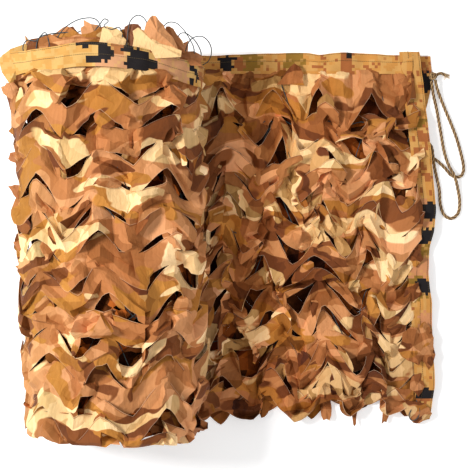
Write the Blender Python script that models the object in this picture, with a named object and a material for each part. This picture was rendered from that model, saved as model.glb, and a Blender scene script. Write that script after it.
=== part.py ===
"""Camouflage shade net, folded in half along its length and partly rolled up, lying on a floor.

The net is cloth with rows of curved cuts that open into leaves, backed by a net of thin twine and bound
along its edges with tape. The roll lies on its side along Y. The loose end, two layers of cloth joined by
the fold at the front, runs out from under the roll along +X. A rope tie lies beside its back corner.
"""

import math

import bmesh
import bpy
import numpy as np
from mathutils import Vector

# The leaf cuts. Seen from above, every other row is cut in hollows and the rows between in crests.
REPEAT = 0.122  # from one leaf to the next along the net
ROW_STEP = 0.0578  # from one row of cuts to the next across the net
WAVE = 0.022  # half the height of the curve that a row of cuts follows
COLUMNS_PER_REPEAT = 6
CUT_EDGE = 0.003  # from a row's line to the cloth's edge on each side of it
CUT_OPEN = 0.016  # how far a leaf draws back from its cut
CUT_ENDS = 0.5  # a cut ends where its curve has come back this share of the way past the middle
UNEVEN = 0.4  # how much leaves differ in height, as a share of it
RIM_RISE = 0.011  # the cloth round a cut stands up
LEAF_DIP = 0.010  # the leaf's own edge sinks in
LEAF_TIPS = 0.014  # how far leaves stick out at a fold and at the roll's front end
LOWEST = 0.0045  # middle of the upper layer where it is lowest over the lower one
LEAF_REACH = 0.024  # room that is left under the roll's leaves
CLOTH = 0.002
CLEAR = 0.0004  # between pieces that touch

# The roll's section is an oval with a flat underside. It lies along Y and tapers a little to the front.
ROLL_AXIS_X = -0.2376
ROLL_AXIS_Z = 0.127
ROLL_HALF_WIDTH = 0.182
ROLL_HALF_HEIGHT = 0.134
ROLL_FLARE = 0.014  # how much further the left side reaches at the back than at the middle
ROLL_FLARE_FROM = 0.10  # the flare starts this far right of the axis, and is full at the left side
ROLL_SQUARENESS = 2.15
ROLL_REPEATS = 8
ROLL_FRONT = -0.384
ROLL_BACK = 0.356
ROLL_HOLLOW_LINE = 0.041  # one of the rows that are cut in hollows
ROLL_TURNS = 4.5
ROLL_LUMP = 0.004
ROLL_LUMP_STEP = 0.02  # the lumps' spacing round the roll, by column
FRONT_EDGE_SINK = 0.004  # the outermost turn draws in a little at the front
SMOOTH_BELOW = 0.030  # the roll is pressed smooth under this height
ROUGH_ABOVE = 0.070
# How far the turns' edges stand out at the roll's two ends, from the outermost turn inwards.
END_STAND_OUT = [
    # share of the radius, back, front
    (0.95, 0.004, 0.000),
    (0.88, 0.038, 0.004),
    (0.78, 0.042, -0.006),
    (0.68, 0.022, -0.004),
    (0.56, 0.026, 0.004),
    (0.43, 0.006, -0.010),
    (0.30, 0.008, -0.002),
    (0.18, -0.014, -0.014),
    (0.05, -0.020, -0.022),
]
END_RINGS = 17
TURN_EDGE = 0.009  # each turn's edge stands this far over the gap between turns, and as far under
TURN_UNEVEN = 0.25  # how uneven the turns' edges are, as a share of their stand-out

# The loose end.
FLAP_INNER = -0.128
FLAP_CREST_X = 0.197
FLAP_FRONT = -0.370
FLAP_BACK = 0.3846
FLAP_HOLLOW_LINE = 0.209
LOWER_HOLLOW_LINE = 0.180
CUTS_FROM = -0.062  # under the roll the flap's cuts lie closed
LEAST_CUT = 0.1
TAPE_FROM = 0.020  # the back tape starts where the roll is this high over it
FOLD_RISE = [
    # share of the height between the layers, how far forward
    (0.30, 0.006),
    (0.80, 0.004),
]
FOLD_NORMALS = [(0, -1, 0), (0, -0.8, 0.6)]  # the way out at the fold's two rows
FLAP_HEIGHT = 0.024
FLAP_LUMP = 0.006
EDGE_HEIGHT = 0.014  # the taped edges lie lower than the leaves
EDGE_SLOPE = 0.05  # over this width the leaves come down to the edge's height
LEAF_FADE = 0.03  # over this width leaves flatten out towards the end's tape
LEAF_FADE_UNDER_ROLL = (0.018, 0.045)  # leaves rise as the roll's height over them grows
COLUMN_SQUEEZE = 0.004  # least distance between columns where the lower layer is drawn in
# The edges ripple.
RIPPLES = [
    # height, waves per metre times two pi, phase
    (0.0030, 38, 0.0),
    (0.0015, 83, 1.0),
]
# The end of the net isn't straight.
END_LINE = [
    # y, x of the end's outer edge
    (-0.385, 0.424),
    (-0.315, 0.434),
    (-0.235, 0.430),
    (-0.140, 0.427),
    (-0.080, 0.420),
    (-0.020, 0.424),
    (0.010, 0.432),
    (0.050, 0.436),
    (0.110, 0.435),
    (0.200, 0.430),
    (0.290, 0.425),
    (0.390, 0.416),
]
# The lower layer's end is drawn in where the rope passes, and shows past the upper one at the back corner.
LOWER_END_LINE = [
    # y, x of the lower layer's end
    (-0.340, 0.431),
    (0.000, 0.420),
    (0.110, 0.400),
    (0.215, 0.400),
    (0.280, 0.421),
    (0.330, 0.432),
    (0.3816, 0.427),
]

TAPE_WIDTH = 0.042
TAPE = 0.0012
ROLL_TAPE_FROM = 0.012  # the roll's tape shows above this height
ROLL_TAPE_FLARE = 0.016  # its back corner at the left stands out
TAPE_CORNER = 13  # the column of the corner
TAPE_CORNER_SPREAD = 2.5

ROPE = 0.0066
ROPE_LOBES = 0.08
ROPE_TWIST = 0.030  # length of one turn of the rope's three strands
ROPE_STEP = 0.0045
ROPE_PASS_Y = 0.175  # the net's edge is lifted here, where the rope loops under it
ROPE_PASS_LIFT = 0.0055
ROPE_PASS_SPREAD = 0.03
# The rope's route: out of the knot, round one long loop, under the net's edge, round a second loop and back.
ROPE_ROUTE = [
    # x, y, height of the rope's middle
    (0.4346, 0.3295, 0.0150),
    (0.4394, 0.3140, 0.0105),
    (0.4480, 0.2930, 0.0050),
    (0.4584, 0.2676, 0.0037),
    (0.4799, 0.2145, 0.0037),
    (0.4924, 0.1720, 0.0037),
    (0.4975, 0.1444, 0.0037),
    (0.4935, 0.1290, 0.0037),
    (0.4842, 0.1250, 0.0037),
    (0.4710, 0.1290, 0.0037),
    (0.4590, 0.1425, 0.0037),
    (0.4430, 0.1580, 0.0037),
    (0.4300, 0.1665, 0.0037),
    (0.4180, 0.1740, 0.0037),
    (0.4115, 0.1850, 0.0037),
    (0.4150, 0.1960, 0.0037),
    (0.4240, 0.1960, 0.0044),
    (0.4295, 0.1850, 0.0085),
    (0.4312, 0.1670, 0.0113),
    (0.4345, 0.1480, 0.0075),
    (0.4400, 0.1260, 0.0038),
    (0.4459, 0.0976, 0.0037),
    (0.4480, 0.0680, 0.0037),
    (0.4560, 0.0450, 0.0037),
    (0.4714, 0.0370, 0.0037),
    (0.4860, 0.0490, 0.0037),
    (0.4890, 0.0740, 0.0037),
    (0.4844, 0.1010, 0.0060),
    (0.4765, 0.1270, 0.0113),
    (0.4650, 0.1500, 0.0064),
    (0.4560, 0.1800, 0.0037),
    (0.4490, 0.2190, 0.0037),
    (0.4440, 0.2480, 0.0037),
    (0.4390, 0.2740, 0.0042),
    (0.4325, 0.2990, 0.0080),
    (0.4283, 0.3285, 0.0095),
]
KNOT_AT = (0.4312, 0.3380, 0.0120)
KNOT_HALF = (0.0085, 0.0085, 0.0082)
KNOT_WIND = 3.2  # how fast the knot's two turns wind round it
KNOT_GROOVE = 0.13  # depth of the grooves between the knot's turns, as a share of its radius
# The rope's short free end, beyond the knot.
ROPE_END_ROUTE = [
    # x, y, height of the rope's middle
    (0.4397, 0.3405, 0.0122),
    (0.4460, 0.3440, 0.0095),
    (0.4540, 0.3430, 0.0058),
    (0.4610, 0.3400, 0.0040),
]

TWINE = 0.0014
TWINE_STEPS = 12
TWINE_ARCH = 0.6  # under 1 makes a loop fuller
TWINE_SEAT = 0.0009  # from the roll's end to the middle of a loop's foot
# Loops of the backing twine that spring out of the roll's back end.
TWINE_LOOPS = [
    # first foot column, last foot column, ring, reach out along Y, sideways lean
    (15, 18, 3, 0.036, 0.010),
    (20, 22, 3, 0.026, 0.004),
    (25, 28, 3, 0.022, 0.006),
    (30, 33, 3, 0.024, 0.010),
    (11, 13, 3, 0.016, -0.006),
]

MATERIALS = {
    # name: (red, green, blue), roughness
    "camouflage_cloth": ((0.50, 0.26, 0.11), 0.75),
    "pixel_tape": ((0.66, 0.42, 0.18), 0.7),
    "hemp_rope": ((0.30, 0.20, 0.11), 0.9),
    "net_twine": ((0.07, 0.09, 0.09), 0.5),
}


def material(name):
    found = bpy.data.materials.get(name)
    if found:
        return found
    colour, roughness = MATERIALS[name]
    made = bpy.data.materials.new(name)
    made.use_nodes = True
    shader = made.node_tree.nodes["Principled BSDF"]
    shader.inputs["Base Color"].default_value = (*colour, 1.0)
    shader.inputs["Roughness"].default_value = roughness
    shader.inputs["Metallic"].default_value = 0.0
    return made


def add_mesh(name, points, faces, material_name, smooth_angle=40):
    mesh = bpy.data.meshes.new(name)
    mesh.from_pydata([tuple(p) for p in points], [], faces)
    mesh.validate()
    mesh.materials.append(material(material_name))
    mesh.shade_smooth()
    mesh.set_sharp_from_angle(angle=math.radians(smooth_angle))
    made = bpy.data.objects.new(name, mesh)
    bpy.context.scene.collection.objects.link(made)
    return made


def smoothstep(low, high, value):
    t = min(1.0, max(0.0, (value - low) / (high - low)))
    return t * t * (3 - 2 * t)


def lumps(x, y):
    """Slow unevenness of the cloth, from -1 to 1."""
    return (
        math.sin(31 * x + 17 * y + 0.6)
        + math.sin(-23 * x + 41 * y + 2.1)
        + math.sin(53 * x - 29 * y + 4.0)
    ) / 3


def ragged(index):
    """Quick unevenness from one column to the next, from -1 to 1."""
    return 0.6 * math.sin(2.1 * index + 0.4) + 0.4 * math.sin(5.3 * index + 1.0)


def cut_share(line, phase):
    """How far a row's cut is open at a phase of its curve: 1 in a cut's middle, and 0 past its ends."""
    hollow = line % 2 == 0
    bend = -math.cos(phase) if hollow else math.cos(phase)
    return max(0.0, (bend + CUT_ENDS) / (1 + CUT_ENDS))


def net_rows(front, back, hollow_line):
    """The rows of points across the cloth between two edges: (line, edge, y), front to back.

    Each row of cuts has a low and a high edge, with a row half way to the next line."""
    first = math.ceil((front + WAVE + CUT_OPEN - hollow_line) / ROW_STEP)
    last = math.floor((back - WAVE - CUT_OPEN - hollow_line) / ROW_STEP)
    rows = []
    for line in range(first, last + 1):
        y = hollow_line + line * ROW_STEP
        rows.append((line, "low", y - CUT_EDGE))
        rows.append((line, "high", y + CUT_EDGE))
        if line < last:
            rows.append((line, "middle", y + ROW_STEP / 2))
    return rows


def net_point(line, edge, y, phase, uneven):
    """A point of the leaf pattern: its y, and its height over the cloth's own level."""
    y += WAVE * math.cos(phase)
    if edge == "middle":
        return y, RIM_RISE * UNEVEN * uneven
    share = cut_share(line, phase)
    side = 1 if edge == "high" else -1
    leaf_side = 1 if line % 2 == 0 else -1
    if side == leaf_side:
        y += side * CUT_OPEN * share
        return y, -LEAF_DIP * share * (1 + UNEVEN * uneven)
    return y, RIM_RISE * share * (1 + UNEVEN * uneven)


def section(count):
    """Evenly spaced points of the roll's section round its axis, and the way out at each.

    They run from the middle of the underside up the left side, over the top and down the right."""
    fine = 4000
    power = 2 / ROLL_SQUARENESS
    points = []
    for i in range(fine):
        turn = 2 * math.pi * i / fine
        across, up = -math.sin(turn), -math.cos(turn)
        x = ROLL_HALF_WIDTH * math.copysign(abs(across) ** power, across)
        z = ROLL_HALF_HEIGHT * math.copysign(abs(up) ** power, up)
        points.append((x, max(z, -ROLL_AXIS_Z)))
    points = np.array(points)
    steps = np.linalg.norm(np.roll(points, -1, axis=0) - points, axis=1)
    along = np.concatenate([[0], np.cumsum(steps)])
    loop = np.vstack([points, points[:1]])
    wanted = np.arange(count) * along[-1] / count
    even = np.stack([np.interp(wanted, along, loop[:, k]) for k in range(2)], axis=1)
    ahead = np.roll(even, -1, axis=0) - np.roll(even, 1, axis=0)
    ahead /= np.linalg.norm(ahead, axis=1)[:, None]
    return even, np.stack([-ahead[:, 1], ahead[:, 0]], axis=1)


ROLL_COLUMNS = ROLL_REPEATS * COLUMNS_PER_REPEAT
SECTION, OUTWARD = section(ROLL_COLUMNS)


def roll_point(column, y, rise):
    """A point over the roll's section, which flares to the left towards the back."""
    across, up = SECTION[column]
    out_x, out_z = OUTWARD[column]
    flare = ROLL_FLARE * y / ROLL_BACK * smoothstep(ROLL_FLARE_FROM, -ROLL_HALF_WIDTH, across)
    return (
        ROLL_AXIS_X + across + out_x * rise - flare,
        y,
        max(0.0, ROLL_AXIS_Z + up + out_z * rise),
    )


def roll_roughness(column):
    """0 where the roll is pressed smooth at its underside, and 1 over the rest."""
    return smoothstep(SMOOTH_BELOW, ROUGH_ABOVE, ROLL_AXIS_Z + SECTION[column][1])


def roll_side_rings():
    """Rings of points round the roll from front to back."""
    tape_front = ROLL_BACK - TAPE_WIDTH
    rings = [
        [
            roll_point(j, ROLL_FRONT + LEAF_TIPS * ragged(j) * roll_roughness(j), -FRONT_EDGE_SINK)
            for j in range(ROLL_COLUMNS)
        ]
    ]
    rows = net_rows(ROLL_FRONT, tape_front, ROLL_HOLLOW_LINE)
    first_line, _, first_y = rows[0]
    rows.insert(0, (first_line - 1, "middle", first_y - ROW_STEP / 2))
    for line, edge, y in rows:
        ring = []
        for j in range(ROLL_COLUMNS):
            phase = 2 * math.pi * j / COLUMNS_PER_REPEAT
            point_y, rise = net_point(line, edge, y, phase, ragged(j + 7 * line))
            rise += ROLL_LUMP * lumps(j * ROLL_LUMP_STEP, y)
            ring.append(roll_point(j, point_y, rise * roll_roughness(j)))
        rings.append(ring)
    for y in (tape_front - CUT_EDGE, ROLL_BACK):
        rings.append([roll_point(j, y, 0.0) for j in range(ROLL_COLUMNS)])
    return rings


def end_rings(edge, back):
    """Rings of points over one end, from its outermost turn to near the axis. The turns' edges wind inwards."""
    shares, back_outs, front_outs = zip(*END_STAND_OUT)
    outs = back_outs if back else front_outs
    end_y, outward = (ROLL_BACK, 1) if back else (ROLL_FRONT, -1)
    rings = []
    for k in range(END_RINGS):
        share = shares[0] + (shares[-1] - shares[0]) * k / (END_RINGS - 1)
        stand_out = float(np.interp(-share, [-s for s in shares], outs))
        ring = []
        for j, (x, _, z) in enumerate(edge):
            turn = share * ROLL_TURNS - j / ROLL_COLUMNS
            out = stand_out * (1 - TURN_UNEVEN + TURN_UNEVEN * ragged(j + 5 * k))
            out += TURN_EDGE * math.cos(2 * math.pi * turn) * share
            ring.append(
                (
                    ROLL_AXIS_X + (x - ROLL_AXIS_X) * share,
                    end_y + outward * out,
                    ROLL_AXIS_Z + (z - ROLL_AXIS_Z) * share,
                )
            )
        rings.append(ring)
    return rings


def closed_rings(rings):
    """Points and faces of a skin through closed rings, front to back, with a point closing each end."""
    count = len(rings[0])
    points = [p for ring in rings for p in ring]
    faces = []
    for i in range(len(rings) - 1):
        for j in range(count):
            ahead = (j + 1) % count
            low, high = i * count, (i + 1) * count
            faces.append((low + j, low + ahead, high + ahead, high + j))
    for ring, first in ((rings[0], True), (rings[-1], False)):
        points.append(tuple(np.mean(ring, axis=0)))
        start = 0 if first else (len(rings) - 1) * count
        for j in range(count):
            here, ahead = start + j, start + (j + 1) % count
            middle = len(points) - 1
            faces.append((middle, ahead, here) if first else (middle, here, ahead))
    return points, faces


def build_roll():
    side = roll_side_rings()
    front = end_rings(side[0], back=False)
    back = end_rings(side[-1], back=True)
    points, faces = closed_rings(front[::-1] + side + back)
    add_mesh("net_roll", points, faces, "camouflage_cloth")
    return back


def roll_underside(x):
    """Height of the roll's underside over a place on the floor, at its lowest along Y."""
    low = SECTION[ROLL_COLUMNS * 3 // 4 :][::-1]
    height = ROLL_AXIS_Z + float(np.interp(x - ROLL_AXIS_X, low[:, 0], low[:, 1]))
    if x > ROLL_AXIS_X + low[-1][0]:
        return math.inf
    return height - LEAF_REACH * smoothstep(SMOOTH_BELOW, ROUGH_ABOVE, height)


def under_roll(x, height):
    """A height for the middle of the cloth that keeps it under the roll."""
    return min(height, roll_underside(x) - CLEAR - CLOTH)


def end_x(y):
    ys, xs = zip(*END_LINE)
    return float(np.interp(y, ys, xs))


def flap_level(x, y):
    """Middle height of the upper layer without its leaves."""
    level = FLAP_HEIGHT + FLAP_LUMP * lumps(x, y)
    from_edge = min(end_x(y) - TAPE_WIDTH - x, FLAP_BACK - TAPE_WIDTH - y)
    return level + (EDGE_HEIGHT - level) * (1 - smoothstep(0, EDGE_SLOPE, from_edge))


def edge_level(along):
    """Middle height of the upper layer under its edge tapes, which ripple."""
    return EDGE_HEIGHT + sum(high * math.sin(rate * along + phase) for high, rate, phase in RIPPLES)


def end_level(y):
    """Middle height of the upper layer's end, which the rope lifts."""
    return edge_level(y) + ROPE_PASS_LIFT * math.exp(-(((y - ROPE_PASS_Y) / ROPE_PASS_SPREAD) ** 2))


def lower_end_x(y):
    ys, xs = zip(*LOWER_END_LINE)
    return float(np.interp(y, ys, xs))


def flap_columns():
    """x of each column of points: the leaf columns, then the two edges of the end's tape, which follow y."""
    step = REPEAT / COLUMNS_PER_REPEAT
    first = math.ceil((FLAP_INNER - FLAP_CREST_X) / step)
    last = math.floor((end_x(FLAP_BACK) - TAPE_WIDTH - 2 * CUT_EDGE - FLAP_CREST_X) / step)
    return [FLAP_CREST_X + j * step for j in range(first, last + 1)]


def column_x(columns, j, y):
    if j < len(columns):
        return columns[j]
    return end_x(y) - (TAPE_WIDTH if j == len(columns) else 0.0)


def flap_leaf_share(x):
    """Leaves fade out under the roll and before the end's tape."""
    clear_of_roll = smoothstep(*LEAF_FADE_UNDER_ROLL, roll_underside(x))
    return clear_of_roll * smoothstep(0, LEAF_FADE, end_x(0) - TAPE_WIDTH - x)


def fold_y(j):
    return FLAP_FRONT + LEAF_TIPS * ragged(j)


def lower_rows(columns):
    """The lower layer, from the back edge to the front, flat on the floor. Each row has its line and edge."""
    front, back = LOWER_END_LINE[0][0], LOWER_END_LINE[-1][0]
    tape_front = back - TAPE_WIDTH
    places = [(None, "plain", back), (None, "plain", tape_front)]
    places += net_rows(front + CUT_EDGE, tape_front - CUT_EDGE, LOWER_HOLLOW_LINE)[::-1]
    places.append((None, "plain", front))
    rows = []
    for line, edge, y in places:
        row = []
        for j, x in enumerate(columns):
            phase = 2 * math.pi * (x - FLAP_CREST_X) / REPEAT
            last = lower_end_x(y) - TAPE_WIDTH
            point_y = y if line is None else net_point(line, edge, y, phase, 0)[0]
            point_y = y + (point_y - y) * smoothstep(0, LEAF_FADE, last - x)
            squeezed = last - COLUMN_SQUEEZE * (len(columns) - j)
            row.append((min(x, squeezed), point_y, CLOTH / 2))
        end = lower_end_x(y)
        row += [(end - TAPE_WIDTH, y, CLOTH / 2), (end, y, CLOTH / 2)]
        rows.append((line, edge, row))
    return rows


def fold_rows(columns):
    """The fold along the front, with ragged leaf tips."""
    rows = []
    for share, forward in FOLD_RISE:
        row = []
        for j in range(len(columns) + 2):
            y = fold_y(j) - forward
            x = column_x(columns, j, y)
            top = under_roll(x, flap_level(x, y)) if j < len(columns) else end_level(y)
            row.append((x, y, CLOTH / 2 + share * (top - CLOTH / 2)))
        rows.append((None, "fold", row))
    return rows


def upper_rows(columns):
    """The upper layer from the fold to the back edge."""
    rows = []
    tape_front = FLAP_BACK - TAPE_WIDTH - CUT_EDGE
    for line, edge, y in net_rows(FLAP_FRONT, tape_front, FLAP_HOLLOW_LINE):
        row = []
        for j, x in enumerate(columns):
            phase = 2 * math.pi * (x - FLAP_CREST_X) / REPEAT
            point_y, rise = net_point(line, edge, y, phase, ragged(j + 7 * line))
            point_y = y + (point_y - y) * smoothstep(0, LEAF_FADE, end_x(y) - TAPE_WIDTH - x)
            height = flap_level(x, point_y) + rise * flap_leaf_share(x)
            row.append((x, point_y, under_roll(x, max(height, LOWEST))))
        end = end_x(y)
        row += [(end - TAPE_WIDTH, y, end_level(y)), (end, y, end_level(y))]
        rows.append((line, edge, row))
    for y in (tape_front, FLAP_BACK):
        row = [(x, y, under_roll(x, edge_level(x))) for x in columns]
        end = end_x(y)
        row += [(end - TAPE_WIDTH, y, end_level(y)), (end, y, end_level(y))]
        rows.append((None, "plain", row))
    return rows


def is_cut(row, next_row, columns, j):
    """Whether the face between two rows, after a column, is the gap of an open cut."""
    line, edge, _ = row
    next_line, next_edge, _ = next_row
    if line is None or line != next_line or {edge, next_edge} != {"low", "high"}:
        return False
    if j + 1 >= len(columns) or columns[j] < CUTS_FROM:
        return False
    phases = [2 * math.pi * (x - FLAP_CREST_X) / REPEAT for x in columns[j : j + 2]]
    return max(cut_share(line, phase) for phase in phases) > LEAST_CUT


def build_flap():
    """The loose end: the lower layer, the fold at the front and the upper layer, with their cuts open."""
    columns = flap_columns()
    count = len(columns) + 2
    rows = lower_rows(columns) + fold_rows(columns) + upper_rows(columns)
    faces = []
    for i in range(len(rows) - 1):
        for j in range(count - 1):
            if not is_cut(rows[i], rows[i + 1], columns, j):
                low, high = i * count, (i + 1) * count
                faces.append((low + j, low + j + 1, high + j + 1, high + j))
    points = [p for _, _, row in rows for p in row]
    flap = add_mesh("net_flap", points, faces, "camouflage_cloth")
    thick = flap.modifiers.new("cloth thickness", "SOLIDIFY")
    thick.thickness = CLOTH
    thick.offset = 0.0


def facing_out(made):
    """Turns every face outwards."""
    work = bmesh.new()
    work.from_mesh(made.data)
    bmesh.ops.recalc_face_normals(work, faces=work.faces)
    work.to_mesh(made.data)
    work.free()


def strip(name, left, right, normals):
    """A tape between two lines of points, standing CLEAR over them."""
    lift = CLEAR + CLOTH / 2
    points = []
    for a, b, normal in zip(left, right, normals):
        a, b, normal = Vector(a), Vector(b), Vector(normal)
        for height in (lift, lift + TAPE):
            points += [a + normal * height, b + normal * height]
    faces = []
    for i in range(len(left) - 1):
        here, ahead = 4 * i, 4 * (i + 1)
        for a, b in ((0, 1), (1, 3), (3, 2), (2, 0)):
            faces.append((here + a, here + b, ahead + b, ahead + a))
    last = 4 * (len(left) - 1)
    faces += [(0, 2, 3, 1), (last, last + 1, last + 3, last + 2)]
    facing_out(add_mesh(name, points, faces, "pixel_tape"))


def build_flap_tapes():
    """Tape along the back edge, along the end and round the front fold, and on the lower layer's end."""
    columns = flap_columns()
    up = (0, 0, 1)
    *_, front_row, back_row = [row for _, _, row in upper_rows(columns)]
    clear = [j for j, x in enumerate(columns) if roll_underside(x) > TAPE_FROM]
    front_line = [front_row[j] for j in clear]
    back_line = [back_row[j] for j in clear]
    strip("tape_back", front_line, back_line, [up] * len(clear))

    rows = [row for _, _, row in fold_rows(columns) + upper_rows(columns)]
    inner = [(row[-2][0] + 2 * CLEAR, row[-2][1], row[-2][2]) for row in rows]
    outer = [row[-1] for row in rows]
    normals = FOLD_NORMALS + [up] * (len(rows) - len(FOLD_NORMALS))
    strip("tape_end", inner, outer, normals)

    left = [(x - TAPE_WIDTH, y, CLOTH / 2) for y, x in LOWER_END_LINE]
    right = [(x, y, CLOTH / 2) for y, x in LOWER_END_LINE]
    strip("tape_under", left, right, [up] * len(left))


def build_roll_tape():
    """Tape round the roll's back end, on its outermost turn."""
    covered = [j for j in range(ROLL_COLUMNS) if ROLL_AXIS_Z + SECTION[j][1] > ROLL_TAPE_FROM]
    front_y, back_y = ROLL_BACK - TAPE_WIDTH, ROLL_BACK
    front = [roll_point(j, front_y, 0.0) for j in covered]
    back = [roll_point(j, back_y, 0.0) for j in covered]
    normals = [(OUTWARD[j][0], 0, OUTWARD[j][1]) for j in covered]
    half = CLOTH / 2
    front = [Vector(p) - half * Vector(n) for p, n in zip(front, normals)]
    back = [
        Vector(p) + (ROLL_TAPE_FLARE * math.exp(-(((j - TAPE_CORNER) / TAPE_CORNER_SPREAD) ** 2)) - half) * Vector(n)
        for j, p, n in zip(covered, back, normals)
    ]
    strip("tape_roll", front, back, normals)


def smooth_route(points, spacing):
    """Points at even spacing on a smooth curve through a route's own points."""
    points = np.array(points)
    padded = np.vstack([2 * points[0] - points[1], points, 2 * points[-1] - points[-2]])
    fine = []
    for i in range(1, len(padded) - 2):
        p0, p1, p2, p3 = padded[i - 1 : i + 3]
        for t in np.linspace(0, 1, 12, endpoint=False):
            fine.append(
                0.5
                * (
                    2 * p1
                    + (p2 - p0) * t
                    + (2 * p0 - 5 * p1 + 4 * p2 - p3) * t**2
                    + (3 * p1 - p0 - 3 * p2 + p3) * t**3
                )
            )
    fine.append(padded[-2])
    fine = np.array(fine)
    steps = np.linalg.norm(np.diff(fine, axis=0), axis=1)
    along = np.concatenate([[0], np.cumsum(steps)])
    wanted = np.linspace(0, along[-1], round(along[-1] / spacing) + 1)
    return np.stack([np.interp(wanted, along, fine[:, k]) for k in range(3)], axis=1)


def tube(name, line, radius, sides, material_name, twist=None, lobes=0.0):
    """A tube along a line. With a twist, its three lobes turn once in that length."""
    line = [Vector(p) for p in line]
    count = len(line)
    side = Vector((0, 0, 1))
    points, along = [], 0.0
    for i, centre in enumerate(line):
        ahead = line[min(i + 1, count - 1)] - line[max(i - 1, 0)]
        ahead.normalize()
        side = (side - ahead * side.dot(ahead)).normalized()
        over = ahead.cross(side)
        along += (centre - line[i - 1]).length if i else 0.0
        turned = 2 * math.pi * along / twist if twist else 0.0
        for k in range(sides):
            angle = 2 * math.pi * k / sides
            reach = radius * (1 + lobes * math.cos(3 * angle))
            points.append(
                centre + reach * (side * math.cos(angle + turned) + over * math.sin(angle + turned))
            )
    faces = []
    for i in range(count - 1):
        for k in range(sides):
            here, ahead = i * sides, (i + 1) * sides
            after = (k + 1) % sides
            faces.append((here + k, here + after, ahead + after, ahead + k))
    faces.append(tuple(range(sides))[::-1])
    faces.append(tuple((count - 1) * sides + k for k in range(sides)))
    facing_out(add_mesh(name, points, faces, material_name, smooth_angle=60))


def build_knot():
    """The rope's knot, with its turns showing as ridges that wind round it."""
    around, along = 18, 12
    rings = []
    for i in range(1, along):
        down = math.pi * i / along
        ring = []
        for j in range(around):
            turn = 2 * math.pi * j / around
            ridge = math.cos(2 * turn + KNOT_WIND * down) * math.sin(down)
            reach = 1 - KNOT_GROOVE / 2 * (1 - ridge)
            ring.append(
                (
                    KNOT_AT[0] + KNOT_HALF[0] * reach * math.sin(down) * math.cos(turn),
                    KNOT_AT[1] + KNOT_HALF[1] * reach * math.cos(down),
                    KNOT_AT[2] + KNOT_HALF[2] * reach * math.sin(down) * math.sin(turn),
                )
            )
        rings.append(ring)
    points, faces = closed_rings(rings)
    facing_out(add_mesh("rope_knot", points, faces, "hemp_rope", smooth_angle=60))


def build_rope():
    for name, route in (("rope_tie", ROPE_ROUTE), ("rope_end", ROPE_END_ROUTE)):
        line = smooth_route(route, ROPE_STEP)
        tube(name, line, ROPE / 2, 6, "hemp_rope", ROPE_TWIST, ROPE_LOBES)
    build_knot()


def build_twine_loops(back_rings):
    """Loops of the backing twine, with both feet against the roll's back end."""
    for number, (first, last, ring, reach, lean) in enumerate(TWINE_LOOPS, 1):
        a, b = (Vector(back_rings[ring][j]) for j in (first, last))
        route = []
        for i in range(TWINE_STEPS + 1):
            t = i / TWINE_STEPS
            middle = a.lerp(b, t)
            arch = math.sin(math.pi * t) ** TWINE_ARCH
            middle.y += TWINE_SEAT + reach * arch
            middle.x += lean * arch
            route.append(middle)
        tube(f"twine_loop_{number}", route, TWINE / 2, 5, "net_twine")


def main():
    for old in list(bpy.data.objects):
        bpy.data.objects.remove(old)
    back_rings = build_roll()
    build_flap()
    build_flap_tapes()
    build_roll_tape()
    build_rope()
    build_twine_loops(back_rings)


main()
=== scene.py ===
"""Camouflage shade net, folded in half and partly rolled up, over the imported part.

The cut-leaf cloth is settled by a cloth simulation, flat, then wound round the roll or laid as the loose end.
"""

import math

import bmesh
import bpy
import numpy as np
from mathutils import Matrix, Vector


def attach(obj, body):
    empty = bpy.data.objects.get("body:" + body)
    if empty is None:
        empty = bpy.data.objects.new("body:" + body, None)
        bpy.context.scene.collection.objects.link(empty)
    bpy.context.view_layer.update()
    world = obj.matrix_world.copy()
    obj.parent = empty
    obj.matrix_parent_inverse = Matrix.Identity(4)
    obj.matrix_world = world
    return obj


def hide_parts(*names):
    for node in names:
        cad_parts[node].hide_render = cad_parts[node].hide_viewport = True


bl_info = {
    "name": "Camouflage Shade Net",
    "version": (1, 0, 0),
    "blender": (4, 5, 0),
    "location": "View3D > Sidebar > Shade Net",
    "description": "Cut-leaf cloth, tapes, twine and rope of a part-rolled camouflage shade net",
    "category": "Object",
}

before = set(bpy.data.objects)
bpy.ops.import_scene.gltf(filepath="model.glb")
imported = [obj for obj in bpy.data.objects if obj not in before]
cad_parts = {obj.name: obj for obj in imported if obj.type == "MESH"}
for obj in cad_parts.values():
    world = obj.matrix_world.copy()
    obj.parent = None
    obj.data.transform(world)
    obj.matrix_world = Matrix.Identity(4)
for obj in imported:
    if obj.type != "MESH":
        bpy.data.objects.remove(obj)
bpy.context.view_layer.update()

# The leaf cuts, as in the part's solids.
REPEAT = 0.122
ROW_STEP = 0.0578
WAVE = 0.022
COLUMNS = 16  # columns of cloth points in a repeat
ROWS = 8  # rows of cloth points from one line of cuts to the next
CUT_REACH = 6  # a cut is open this many columns to each side of its middle
TIP_SHARPNESS = 0.5

# The cloth's finish paints shade on the sunk leaves that start here.
SUNK_V = 9.0  # on the UV map, small leaves that lie in under a cut's rim start here
STANDING_V = 5.0  # small leaves that stand up start here on the UV map

# The roll's section, as in the part's solids.
ROLL_AXIS_X = -0.2376
ROLL_AXIS_Z = 0.127
ROLL_HALF_WIDTH = 0.182
ROLL_HALF_HEIGHT = 0.134
ROLL_SQUARENESS = 2.15
ROLL_FLARE = 0.014
ROLL_FLARE_FROM = 0.10
ROLL_FRONT = -0.384
ROLL_BACK = 0.356
ROLL_HOLLOW_LINE = 0.041
ROLL_REPEATS = 8
ROLL_TURNS = 4.5
ROLL_EDGE_ROUND = 0.012
COVER_INSET = 0.020  # how far the cover's flat ground lies under the roll's outer surface

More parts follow.
